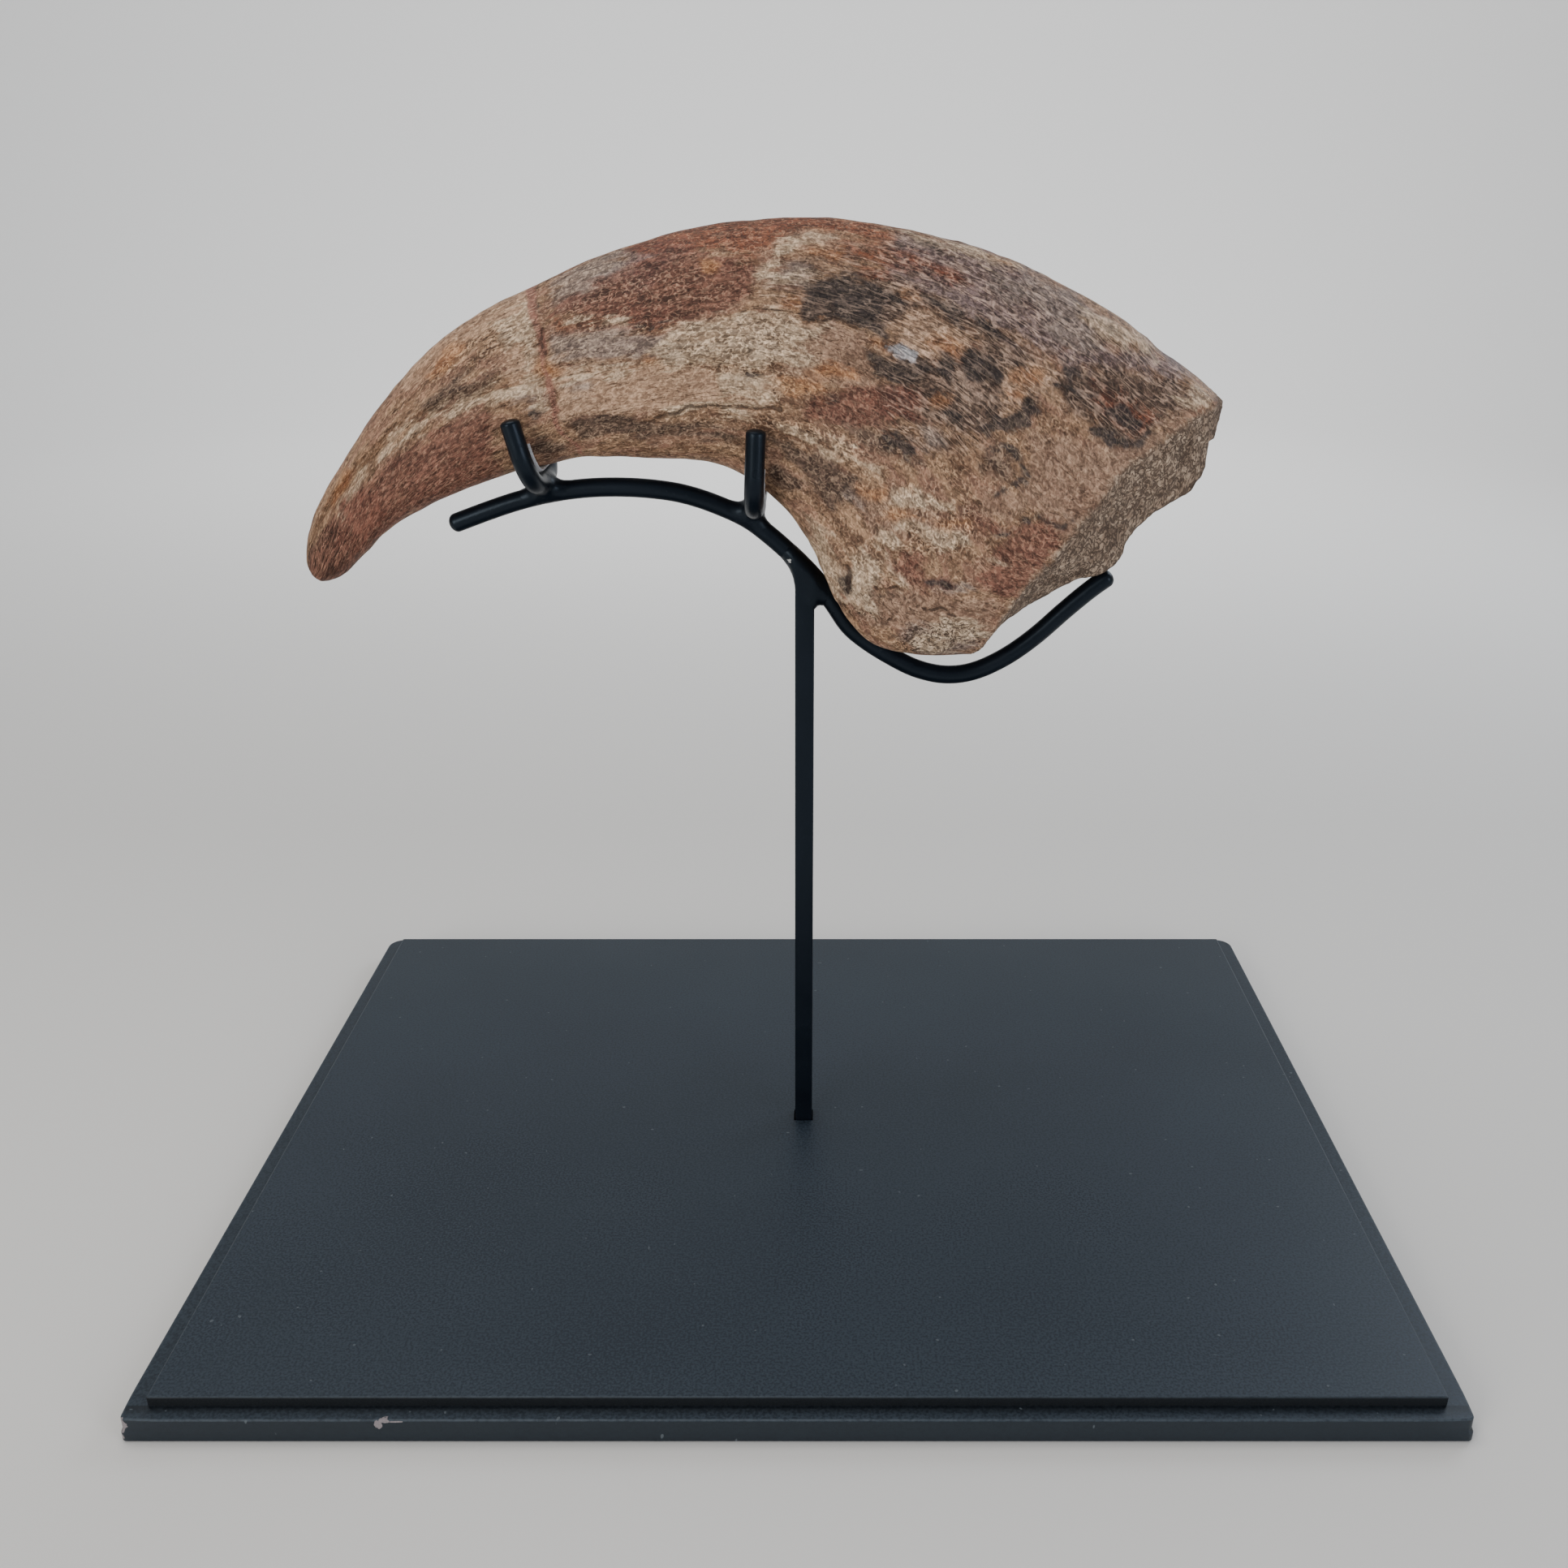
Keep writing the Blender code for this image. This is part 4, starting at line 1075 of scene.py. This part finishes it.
            (1.1, [(3.6, 249.2), (7, 248.4), (9, 247.6)]), (0.8, [(46, 247.4), (56, 243.6), (64, 239.6)]),
        ],
    ),
    "black": Marks(
        spots=[
            (33.4, 224.2, 2.5, 2.7, 0), (-33, 233.0, 3, 0.3, 0), (-10.6, 222.4, 1.2, 0.8, 0),
            (11.6, 171.4, 0.8, 1.8, 0), (48.6, 186, 2.2, 0.9, 0), (34, 172.8, 2, 0.8, 0),
            (-62.5, 212, 1.4, 1, 0), (30, 249.4, 3, 1, -12), (44, 205, 2.4, 0.9, -30),
            (23.4, 206.8, 4.4, 1.9, -40), (63, 222.6, 3, 0.9, -20), (35, 235.6, 3.4, 1.6, -30),
            (44, 232.4, 4, 1.6, -34), (36.6, 213, 3, 1.3, -20), (22, 238.6, 3, 1.4, -20),
            (76, 213, 5, 2, -20), (-60.4, 229.8, 0.5, 1.5, 0), (-61.2, 236, 0.3, 1.6, 0),
        ],
        trails=[
            (1.0, [(29, 238.4), (34, 235.8), (38, 232.6), (40.6, 230.6)]), (0.6, [(43, 234), (50, 229.6)]),
            (0.6, [(58.6, 219.6), (64, 218.8), (70, 216.6)]),
            (0.8, [(69, 209.4), (73, 207.2), (78, 206.6), (83, 208.4)]),
            (0.8, [(53.6, 188), (56.6, 189.4), (58, 187.4), (62, 186.8), (63.5, 188.4)]),
            (0.5, [(49, 205.4), (52, 202.6), (52.6, 198.6), (47, 196)]), (0.6, [(5, 217.8), (9, 216.4)]),
            (0.9, [(17, 232), (19.6, 230.4), (20.4, 228.4)]),
        ],
        fields=[
            [(0.5, 241.4), (6, 243), (13, 244.4), (19, 241.4), (20.6, 238), (17, 232), (10, 234.2), (1, 235),
             (2, 238)],
            [(14.6, 228.6), (20, 227.2), (29, 225.8), (31.6, 223), (25, 220.8), (18.2, 222.4)],
            [(36.8, 227), (41, 227.4), (48, 222), (46, 219.6), (38, 221.4)],
            [(42.6, 212.6), (49, 213), (53.6, 218.8), (57.4, 214.8), (52, 209.6), (44, 207.6)],
        ],
    ),
    "white": Marks(
        fields=[[(20.4, 228.8), (24, 229.6), (26.6, 227), (25.5, 225.6), (22, 226.4)]],
    ),
    "wrinkled": Marks(
        fields=[
            [(-10, 241), (6, 249), (24, 252), (50, 245), (72, 233), (96, 219), (88, 212), (80, 207),
             (68, 209), (58, 219), (50, 212), (42, 205), (28, 204), (18, 212), (18, 222), (20, 230),
             (0, 234)],
        ],
    ),
    "wormy": Marks(
        spots=[
            (-35, 238, 20, 7, 10), (-72, 230, 14, 6, 32), (30, 188, 15, 9, -10), (4, 208, 16, 3, -14),
            (17, 177, 5, 6, 0),
        ],
        fields=[[(-28, 236), (0, 236), (7, 232), (7, 224), (-4, 214), (-18, 216), (-28, 226)]],
    ),
    "cracked": Marks(
        spots=[(-117, 178, 8, 6, 50), (34, 159, 11, 5, 10), (16, 165, 8, 1.6, -8)],
        trails=[(0.8, [(-60.6, 231), (-59.5, 226.5)]), (0.8, [(-58, 218), (-57.3, 210), (-54, 205)])],
    ),
    "scored": Marks(
        trails=[
            (0.5, [(11, 177), (12.3, 173.5), (11.6, 170.5)]),
            (0.35, [(28, 162), (28.2, 158.7), (25.8, 156.6)]),
            (0.35, [(29.3, 162.4), (31.9, 158.7), (34.5, 156.2)]),
            (0.35, [(36, 164), (38.9, 161.4), (37, 157)]), (0.35, [(42.6, 161), (44.3, 157.8)]),
            (0.35, [(31, 168), (36, 167), (38.5, 164)]),
            (0.35, [(-33, 212), (-24.6, 214.4), (-19.6, 214.8), (-11.7, 215), (-4.5, 213.7)]),
            (0.35, [(19, 172), (22.6, 172), (24.6, 171.4)]), (0.35, [(-60.4, 231), (-60.2, 228), (-59, 226)]),
            (0.25, [(-74, 202.2), (-69.6, 204)]), (0.3, [(-10, 236.8), (0, 235.7), (8, 234.2), (14, 232)]),
        ],
    ),
    "mended": Marks(
        trails=[
            (1.0, [(-62, 240), (-62, 234.6), (-60.4, 229.4)]),
            (0.6, [(-60, 229), (-58.6, 221), (-57.6, 215), (-57, 209)]),
            (0.5, [(-57, 209), (-54, 205), (-52, 202)]),
        ],
    ),
}
FIELD_LIMIT = 6.0
EDGE_BLEND = 0.0045
RAGGED_SIZE = 0.0075
RAGGED_REACH = 1.5
NIBBLED_SIZE = 0.0030
NIBBLED_REACH = 0.8
STRAY_SIZE = 0.034
STRAY_REACH = 9.0


def mark_depth(marks, x, z):
    """How far inside the nearest mark each point lies, in millimetres; less than 0 is outside."""
    flat = np.stack([x, z], axis=-1).reshape(-1, 2)
    depth = np.full(len(flat), -FIELD_LIMIT)
    for sx, sz, long_way, short_way, tilt in marks.spots:
        cos = math.cos(math.radians(tilt))
        sin = math.sin(math.radians(tilt))
        dx = flat[:, 0] - sx
        dz = flat[:, 1] - sz
        a = (dx * cos + dz * sin) / long_way
        b = (dz * cos - dx * sin) / short_way
        away = np.hypot(a, b)
        pull = np.hypot(a / long_way, b / short_way)
        inward = away * (1 - away) / np.maximum(pull, 1e-6)
        depth = np.maximum(depth, np.where(away < 1e-6, short_way, inward))
    for half_width, points in marks.trails:
        depth = np.maximum(depth, half_width - distance_to_line(flat, np.array(points, float)))
    for outline in marks.fields:
        corners = np.array(outline, float)
        away = distance_to_line(flat, np.vstack([corners, corners[:1]]))
        depth = np.maximum(depth, np.where(inside_outline(flat, corners), away, -away))
    return np.clip(depth, -FIELD_LIMIT, FIELD_LIMIT).reshape(x.shape)


def inside_outline(flat, corners):
    inside = np.zeros(len(flat), bool)
    for (ax, az), (bx, bz) in zip(corners, np.roll(corners, -1, axis=0)):
        crosses = (az > flat[:, 1]) != (bz > flat[:, 1])
        at = ax + (flat[:, 1] - az) / (bz - az if bz != az else 1e-9) * (bx - ax)
        inside ^= crosses & (flat[:, 0] < at)
    return inside


def raggedness(points, shift):
    """How far the edges of the stains stray, in millimetres: ragged, and nibbled at a finer size."""
    ragged = RAGGED_REACH * lumps(points, RAGGED_SIZE, shift)
    return ragged + NIBBLED_REACH * lumps(points, NIBBLED_SIZE, shift + 1.0)


def marks_on(points):
    """Depth inside each kind of mark for skin points, one side's marks running over into the other's."""
    x = points[..., 0] / MM + raggedness(points, 1.0)
    z = points[..., 2] / MM + raggedness(points, 3.0)
    stray_x = STRAY_REACH * lumps(points, STRAY_SIZE, 5.0)
    stray_z = STRAY_REACH * lumps(points, STRAY_SIZE, 6.0)
    far = step_up(points[..., 1], -EDGE_BLEND, EDGE_BLEND)
    found = {}
    for kind, marks in MARKS.items():
        strays = 0.0 if kind == "mended" else 1.0
        near_side = mark_depth(marks, x, z)
        far_side = mark_depth(marks, x + strays * stray_x, z + strays * stray_z)
        found[kind] = (1 - far) * near_side + far * far_side
    up, reach = np.moveaxis(in_joint_frame(np.stack([points[..., 0], points[..., 2]], axis=-1)), -1, 0)
    rim = np.interp(up, joint_edge[:, 0], joint_edge[:, 1])
    front_line = np.interp(up, sponge_edge[:, 0], sponge_edge[:, 1])
    line = (1 - far) * front_line + far * (rim - BACK_SPONGE_WIDTH)
    found["sponge"] = np.clip((reach - line) / MM, -FIELD_LIMIT, FIELD_LIMIT)
    return found


marks = marks_on(skin)

# Relief of the claw, in millimetres: fibres, wrinkled bark, sunk cracks, the lifted cream crust, the
# lumps and pits of the spongy core, and a ledge where a flake is lost beside the joint end.
FIBRE_SIZE = (0.010, 0.0016, 0.006)
FINE_FIBRE_SIZE = (0.005, 0.0009, 0.004)
FINE_FIBRE_SHARE = 0.6
FIBRE_RELIEF = 0.09
BARK_SIZE = (0.0062, 0.0021, 0.004)
BARK_RELIEF = 0.26
ROUGH_SIZE = 0.0045
ROUGH_RELIEF = 0.18
CRACK_RELIEF = 0.30
CRUST_RELIEF = 0.35
PIT_SIZE = 0.0021
FINE_PIT_SIZE = 0.0011
FINE_PIT_SHARE = 0.35
PIT_RELIEF = 0.14
SPONGE_LUMPS = 0.32
SPONGE_PROUD = 0.2
JOINT_LUMP_SIZE = 0.0055
JOINT_SUNK = 0.5
LEDGE_X = 0.0905
LEDGE_LOW = 0.1925
LEDGE_HIGH = 0.2045
LEDGE_SLOPE = 0.001
LEDGE_DEPTH = 1.3
CALM_TIP = 0.6


def normals_of(points):
    """Outward direction at each point of a closed band of rings."""
    around_way = np.roll(points, -1, axis=1) - np.roll(points, 1, axis=1)
    along_way = np.gradient(points, axis=0)
    out = np.cross(along_way, around_way)
    return out / np.maximum(np.linalg.norm(out, axis=-1, keepdims=True), 1e-12)


def sponge_pits(points):
    """0 on the walls of the spongy core to 1 in its worm-shaped pits."""
    fold = np.abs(lumps(points, PIT_SIZE, 7.0)) + FINE_PIT_SHARE * np.abs(lumps(points, FINE_PIT_SIZE, 3.0))
    return step_up(fold, 0.06, 0.34)


fibre = lumps(grain * MM, FIBRE_SIZE) + FINE_FIBRE_SHARE * lumps(grain * MM, FINE_FIBRE_SIZE)
bark = 1 - 2 * np.abs(lumps(grain * MM, BARK_SIZE, 11.0))
rough = lumps(skin, ROUGH_SIZE, 5.0)
core = step_up(marks["sponge"], -0.3, 0.5)
skin_pits = sponge_pits(skin)
relief = FIBRE_RELIEF * fibre + ROUGH_RELIEF * rough
relief += BARK_RELIEF * bark * step_up(marks["wrinkled"], -2.0, 2.0)
relief -= CRACK_RELIEF * step_up(marks["scored"], -0.4, 0.3)
relief += CRUST_RELIEF * step_up(marks["cream"], -0.8, 0.6)
relief = relief * (1 - core) + core * (SPONGE_LUMPS * rough - PIT_RELIEF * skin_pits + SPONGE_PROUD)
ledge = step_up(skin[..., 0], LEDGE_X, LEDGE_X + LEDGE_SLOPE)
ledge = ledge * step_up(skin[..., 2], LEDGE_LOW, LEDGE_LOW + 2 * LEDGE_SLOPE)
ledge = ledge * (1 - step_up(skin[..., 2], LEDGE_HIGH, LEDGE_HIGH + LEDGE_SLOPE))
relief -= LEDGE_DEPTH * ledge * (skin[..., 1] < 0)
calm = np.clip(stations / CALM_TIP, 0, 1)[:, None]
skin = skin + normals_of(skin) * (relief * calm * MM)[..., None]
skin[..., 2] = np.minimum(skin[..., 2], cad_high.z)

flat_out = np.array([joint_out[0], 0, joint_out[1]])
share = np.linspace(0, 1, JOINT_FACE_STRIPS + 1)[1:-1, None]
joint_rows = []
for k in range(1, CLAW_TURNS):
    hollow = JOINT_HOLLOW * math.sin(angles[k]) * 4 * share * (1 - share)
    joint_rows.append(skin[-1, k] * (1 - share) + skin[-1, around - k] * share - flat_out * hollow)
joint_face = np.array(joint_rows)
pitted = SPONGE_LUMPS * lumps(joint_face, JOINT_LUMP_SIZE, 5.0) - PIT_RELIEF * sponge_pits(joint_face)
joint_face = joint_face + flat_out * ((pitted - JOINT_SUNK) * MM)[..., None]
joint_marks = {kind: np.full(joint_face.shape[:2], -FIELD_LIMIT) for kind in marks}
joint_marks["sponge"][:] = FIELD_LIMIT
joint_grain = joint_face[..., [0, 2, 1]] / MM
tip_point = np.array([[SECTIONS[0].dorsal_x, 0.0, SECTIONS[0].dorsal_z]])
claw_points = np.concatenate([tip_point, skin.reshape(-1, 3), joint_face.reshape(-1, 3)])
numbers = np.arange(len(claw_points))
skin_at = numbers[1:1 + CLAW_ROWS * around].reshape(CLAW_ROWS, around)
face_at = numbers[1 + CLAW_ROWS * around:].reshape(joint_face.shape[:2])
joint_at = np.column_stack([skin_at[-1, 1:CLAW_TURNS], face_at, skin_at[-1, :CLAW_TURNS:-1]])


def quads_of(grid, wrap):
    """Four-cornered faces between neighbours in a grid of point numbers."""
    if wrap:
        grid = np.column_stack([grid, grid[:, 0]])
    corners = [grid[:-1, :-1], grid[1:, :-1], grid[1:, 1:], grid[:-1, 1:]]
    return np.stack(corners, axis=-1).reshape(-1, 4).tolist()


claw_faces = quads_of(skin_at, True) + quads_of(joint_at.T, False)
first_ring = skin_at[0].tolist()
claw_faces += [[0, first_ring[k], first_ring[(k + 1) % around]] for k in range(around)]
belly_end = int(skin_at[-1, 0])
crown_end = int(skin_at[-1, CLAW_TURNS])
for k in range(joint_at.shape[1] - 1):
    claw_faces.append([belly_end, int(joint_at[0, k + 1]), int(joint_at[0, k])])
    claw_faces.append([crown_end, int(joint_at[-1, k]), int(joint_at[-1, k + 1])])
claw_mesh = bpy.data.meshes.new("fossil_claw")
claw_mesh.from_pydata(claw_points.tolist(), [], claw_faces)


def keep_value(mesh, name, tip_value, on_skin, on_joint):
    """Stores a value for every point of the claw, for its material to read."""
    values = np.concatenate([[tip_value], on_skin.ravel(), on_joint.ravel()]).astype(np.float32)
    mesh.attributes.new(name, "FLOAT", "POINT").data.foreach_set("value", values)


for kind in marks:
    keep_value(claw_mesh, kind, float(marks[kind][0].mean()), marks[kind], joint_marks[kind])
keep_value(claw_mesh, "pit", 0.0, sponge_pits(skin) * core, sponge_pits(joint_face))
tip_grain = grain[0].mean(axis=0)[None]
all_grain = np.concatenate([tip_grain, grain.reshape(-1, 3), joint_grain.reshape(-1, 3)]).astype(np.float32)
claw_mesh.attributes.new("grain", "FLOAT_VECTOR", "POINT").data.foreach_set("vector", all_grain.ravel())

# Finish of the bone: tan mineral with streaks along its grain, and stains over it with ragged edges.
# Fine pale lines run like hairs over the barky part and like worm tracks over the rest; the cracks
# and the gaps of the spongy core are dark.
BONE_TAN = (174, 139, 109)
BONE_UMBER = (112, 82, 62)
BONE_ROSE = (152, 112, 94)
Stain = namedtuple("Stain", "kind dark light streaky ragged soft most")
STAINS = [
    Stain("brown", (62, 46, 39), (110, 89, 76), 1.6, 1.8, 1.4, 0.90),
    Stain("mauve", (88, 70, 69), (138, 118, 117), 1.6, 1.8, 1.6, 0.90),
    Stain("fawn", (166, 132, 106), (196, 162, 134), 2.0, 1.4, 1.0, 0.85),
    Stain("sand", (124, 95, 77), (160, 130, 109), 2.0, 1.6, 1.4, 0.85),
    Stain("grey", (122, 108, 102), (162, 146, 136), 2.6, 1.0, 1.8, 0.75),
    Stain("rust", (90, 42, 27), (144, 80, 54), 2.2, 1.2, 1.6, 0.86),
    Stain("wine", (88, 50, 41), (134, 89, 74), 2.2, 1.2, 1.4, 0.86),
    Stain("cream", (180, 152, 124), (218, 194, 166), 2.4, 1.4, 1.2, 0.80),
    Stain("ochre", (160, 100, 58), (194, 142, 96), 1.2, 1.6, 1.4, 0.65),
    Stain("black", (30, 27, 30), (68, 60, 58), 1.2, 1.9, 0.8, 0.90),
    Stain("white", (206, 206, 210), (164, 160, 164), 0.4, 1.2, 0.5, 0.96),
]
STAIN_EDGE = 4
FILLER = (156, 108, 92)
WORM_GAP = (54, 37, 29)
WORM_CREST = (226, 198, 166)
# Dark ground between the bark's threads, also used for the painted shadow beside them.
BARK_HOLLOW_SHADE = (38, 31, 31)
BARK_THREAD = (192, 165, 146)
BRIGHTER = 1.7
CREVICE = (48, 32, 26)
CORE_WALL_DARK = (158, 135, 115)
CORE_WALL_LIGHT = (204, 180, 157)
CORE_GAP = (64, 50, 42)
CORE_PIT = (78, 64, 56)
BONE_BUMP = 0.00034


def away_from_line(value):
    """How far a noise is from its middle, 0 along a maze of wavy lines."""
    return maths("ABSOLUTE", centred(value))


def line_of(value, width):
    """1 along the wavy lines of a noise, fading to 0 over the given width."""
    return between(away_from_line(value), width, width * 0.25)


def brightened(colour, value):
    return add_node("ShaderNodeHueSaturation", {"Color": colour, "Value": value}).outputs["Color"]


def fossil_bone():
    finish, tree, shader = new_finish("fossil_bone", 0.6, 0.3)
    where = add_node("ShaderNodeAttribute", {}, tree, attribute_name="grain").outputs["Vector"]
    streak = cloudy(where, (14.0, 2.4, 7.0), 3)
    drift = cloudy(where, (9.0, 4.0, 6.0), 4, 0.5)
    fibre = cloudy(where, (2.6, 0.60, 1.6), 2)
    flaky = cloudy(where, (5.5, 3.2, 4.5), 5, 0.5, 0.62)
    mottle = cloudy(where, (1.7, 1.1, 1.5), 3, 1.0, 0.60)
    grit = cloudy(where, (0.50, 0.42, 0.45), 2)
    body = between(sum_of((streak, 0.4), (flaky, 0.35), (mottle, 0.25)), 0.40, 0.60)
    colour = blended(body, BONE_UMBER, BONE_TAN)
    colour = blended(between(drift, 0.46, 0.62, 0.0, 0.6), colour, BONE_ROSE)

    # Stains: each kind covers what is under it, with an edge drawn out in streaks along the grain.
    streaks = centred(cloudy(where, (11.0, 1.9, 5.0), 4, 0.3, 0.60))
    edge = centred(sum_of((flaky, 0.75), (mottle, 0.25)))
    inner = between(sum_of((streak, 0.3), (mottle, 0.45), (fibre, 0.25)), 0.40, 0.60)
    covers = {}
    for stain in STAINS:
        ragged = sum_of((streaks, stain.streaky * STAIN_EDGE), (edge, stain.ragged * STAIN_EDGE))
        depth = maths("ADD", named_value(tree, stain.kind), ragged)
        covers[stain.kind] = between(depth, -stain.soft, stain.soft, 0.0, stain.most)
        stained = blended(inner, stain.dark, stain.light)
        colour = blended(covers[stain.kind], colour, stained)
    filled = between(maths("ADD", named_value(tree, "mended"), times(edge, 2.0)), -0.5, 0.4, 0.0, 0.90)
    colour = blended(filled, colour, FILLER)

    # Fine pale lines: threads over the barky part, each with painted shadow beside it, and worm tracks over
    # the rest, faint where smooth.
    barky = between(named_value(tree, "wrinkled"), -2.5, 2.5)
    wormy = between(named_value(tree, "wormy"), -3.0, 3.0)
    smooth = larger(named_value(tree, "fawn"), named_value(tree, "sand"))
    smooth = between(maths("ADD", smooth, times(edge, 12.0)), -0.5, 2.0)
    patchy = between(cloudy(where, (4.0, 2.6, 3.0), 2), 0.36, 0.56, 0.45, 1.0)
    lively = times(larger(wormy, 0.55), between(smooth, 0.0, 1.0, 1.0, 0.55))
    lively = times(times(lively, patchy), rest_of(times(barky, 0.6)))
    worm = away_from_line(cloudy(where, (1.5, 0.95, 1.3), 0.8, 0.6))
    crest = times(between(worm, 0.070, 0.026), lively)
    crest = times(crest, rest_of(times(covers["wine"], 0.35)))
    gap = times(between(worm, 0.055, 0.120), lively)
    thread = away_from_line(cloudy(where, (7.5, 1.25, 3.0), 1.7, 0.3))
    cross_thread = away_from_line(cloudy(where, (3.8, 1.6, 2.4), 1.4, 0.6))
    strand = larger(between(thread, 0.050, 0.018), between(cross_thread, 0.034, 0.010, 0.0, 0.45))
    strand = times(times(strand, times(barky, patchy)), rest_of(times(covers["black"], 0.45)))
    # Painted shadow: thin dark lines on both sides of each pale thread, added to the dark hollows between
    # threads.
    strand_shadow = times(between(thread, 0.040, 0.062), between(thread, 0.130, 0.080))
    deep = maths("MINIMUM", between(thread, 0.045, 0.105), between(cross_thread, 0.03, 0.08))
    hollow = times(sum_of((strand_shadow, 0.50), (deep, 0.30)), barky)
    colour = blended(times(gap, 0.62), colour, WORM_GAP)
    colour = blended(times(hollow, 0.85), colour, BARK_HOLLOW_SHADE)
    brighter = brightened(colour, BRIGHTER)
    colour = blended(times(crest, 0.85), colour, blended(0.40, brighter, WORM_CREST))
    colour = blended(times(strand, 0.90), colour, blended(0.55, brighter, BARK_THREAD))
    colour = brightened(colour, between(sum_of((mottle, 0.6), (grit, 0.4)), 0.39, 0.61, 0.68, 1.32))

    # Cracks: hairlines along the grain, crackle in places, and the few placed one by one.
    hairline = line_of(cloudy(where, (12.0, 1.5, 5.0), 4, 0.4), 0.008)
    crackle = line_of(cloudy(where, (2.2, 1.7, 2.0), 3, 1.4), 0.035)
    crackle = times(crackle, between(named_value(tree, "cracked"), -1.0, 1.5, 0.0, 0.85))
    score = maths("ADD", named_value(tree, "scored"), times(centred(mottle), 1.6))
    score = between(score, -0.15, 0.25, 0.0, 0.85)
    crack = larger(times(hairline, 0.5), larger(crackle, score))
    colour = blended(crack, colour, CREVICE)

    # Spongy core: pale walls with dark gaps, bare where the skin is broken away.
    core = between(maths("ADD", named_value(tree, "sponge"), times(edge, 6.0)), -1.2, 1.2)
    maze = line_of(cloudy(where, (1.5, 1.3, 1.5), 1.2, 0.8), 0.100)
    pores = between(cloudy(where, 0.8, 1), 0.56, 0.64)
    hole = larger(maze, times(pores, 0.7))
    walls = blended(between(flaky, 0.38, 0.62), CORE_WALL_DARK, CORE_WALL_LIGHT)
    spongy = blended(times(hole, 0.82), walls, CORE_GAP)
    spongy = blended(times(named_value(tree, "pit"), 0.30), spongy, CORE_PIT)
    feed(shader, "Base Color", blended(core, colour, spongy))
    feed(shader, "Roughness", between(sum_of((core, 0.3), (grit, 0.5)), 0.1, 0.6, 0.50, 0.84))
    height = sum_of(
        (fibre, 0.3), (mottle, 0.6), (grit, 0.35), (crest, 0.7), (strand, 0.8), (hollow, -0.4),
        (crack, -1.2), (covers["cream"], 0.6), (times(hole, core), -1.0),
    )
    feed(shader, "Normal", raised(height, BONE_BUMP, 0.9))
    return finish


claw = place("fossil_claw", claw_mesh, fossil_bone(), 180)
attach(claw, "root")
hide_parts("claw")


# Room: a plain pale floor that turns up at its edge, and soft lights, with the camera where the
# photograph was taken from, a little above the claw and looking down on the board.
FLOOR_FLAT = 1.5
FLOOR_CURVE = 1.4
FLOOR_TURN = math.radians(80)
FLOOR_RINGS = 12
FLOOR_CUTS = 96
FLOOR_PALE = (232, 232, 230)
ROOM_PALE = (206, 208, 212)
ROOM_GLOW = 0.55
CAMERA_PLACE = (0.0076, -0.3723, 0.2642)
CAMERA_TILT = 22.0
CAMERA_LENS = 34.47
CAMERA_SENSOR = 36.0
CAMERA_SHIFT = -0.030
CAMERA_NEAREST = 0.01
Light = namedtuple("Light", "name place aim size power tint")
LIGHTS = [
    Light("overhead_softbox", (-0.20, 0.10, 1.00), (0.0, 0.0, 0.15), 0.70, 3.5, (255, 250, 244)),
    Light("front_left_softbox", (-0.70, -0.95, 0.42), (0.0, 0.0, 0.19), 0.60, 6.5, (255, 248, 240)),
    Light("front_right_softbox", (0.85, -0.75, 0.30), (0.03, 0.0, 0.19), 0.50, 3.6, (250, 250, 255)),
    Light("right_back_softbox", (0.75, 0.60, 0.65), (0.02, 0.0, 0.20), 0.50, 2.6, (240, 246, 255)),
    Light("backdrop_softbox", (0.0, 1.0, 1.3), (0.0, 2.7, 0.3), 1.20, 30.0, (250, 250, 252)),
]


def pale_floor():
    finish, tree, shader = new_finish("pale_floor", 0.8, 0.2)
    shader.inputs["Base Color"].default_value = tone(FLOOR_PALE)
    return finish


floor_profile = [(FLOOR_FLAT, 0.0)]
for k in range(1, FLOOR_RINGS + 1):
    angle = FLOOR_TURN * k / FLOOR_RINGS
    floor_profile.append((FLOOR_FLAT + FLOOR_CURVE * math.sin(angle), FLOOR_CURVE * (1 - math.cos(angle))))
floor_mesh = mesh_of_rings("floor", rings_about(Vector(), floor_profile, FLOOR_CUTS), close_last=False)
floor = place("floor", floor_mesh, pale_floor(), 40)

for light in LIGHTS:
    lamp = bpy.data.lights.new(light.name, "AREA")
    lamp.shape = "DISK"
    lamp.size = light.size
    lamp.energy = light.power
    lamp.color = tone(light.tint)[:3]
    fixture = bpy.data.objects.new(light.name, lamp)
    fixture.location = light.place
    aim = Vector(light.aim) - Vector(light.place)
    fixture.rotation_euler = aim.to_track_quat("-Z", "Y").to_euler()
    bpy.context.scene.collection.objects.link(fixture)

room = bpy.data.worlds.new("pale_room")
room.use_nodes = True
room.node_tree.nodes["Background"].inputs["Color"].default_value = tone(ROOM_PALE)
room.node_tree.nodes["Background"].inputs["Strength"].default_value = ROOM_GLOW
bpy.context.scene.world = room

lens = bpy.data.cameras.new("camera")
lens.lens = CAMERA_LENS
lens.sensor_width = CAMERA_SENSOR
lens.shift_x = CAMERA_SHIFT
lens.clip_start = CAMERA_NEAREST
camera = bpy.data.objects.new("camera", lens)
camera.location = CAMERA_PLACE
camera.rotation_euler = (math.radians(90.0 - CAMERA_TILT), 0.0, 0.0)
bpy.context.scene.collection.objects.link(camera)
bpy.context.scene.camera = camera
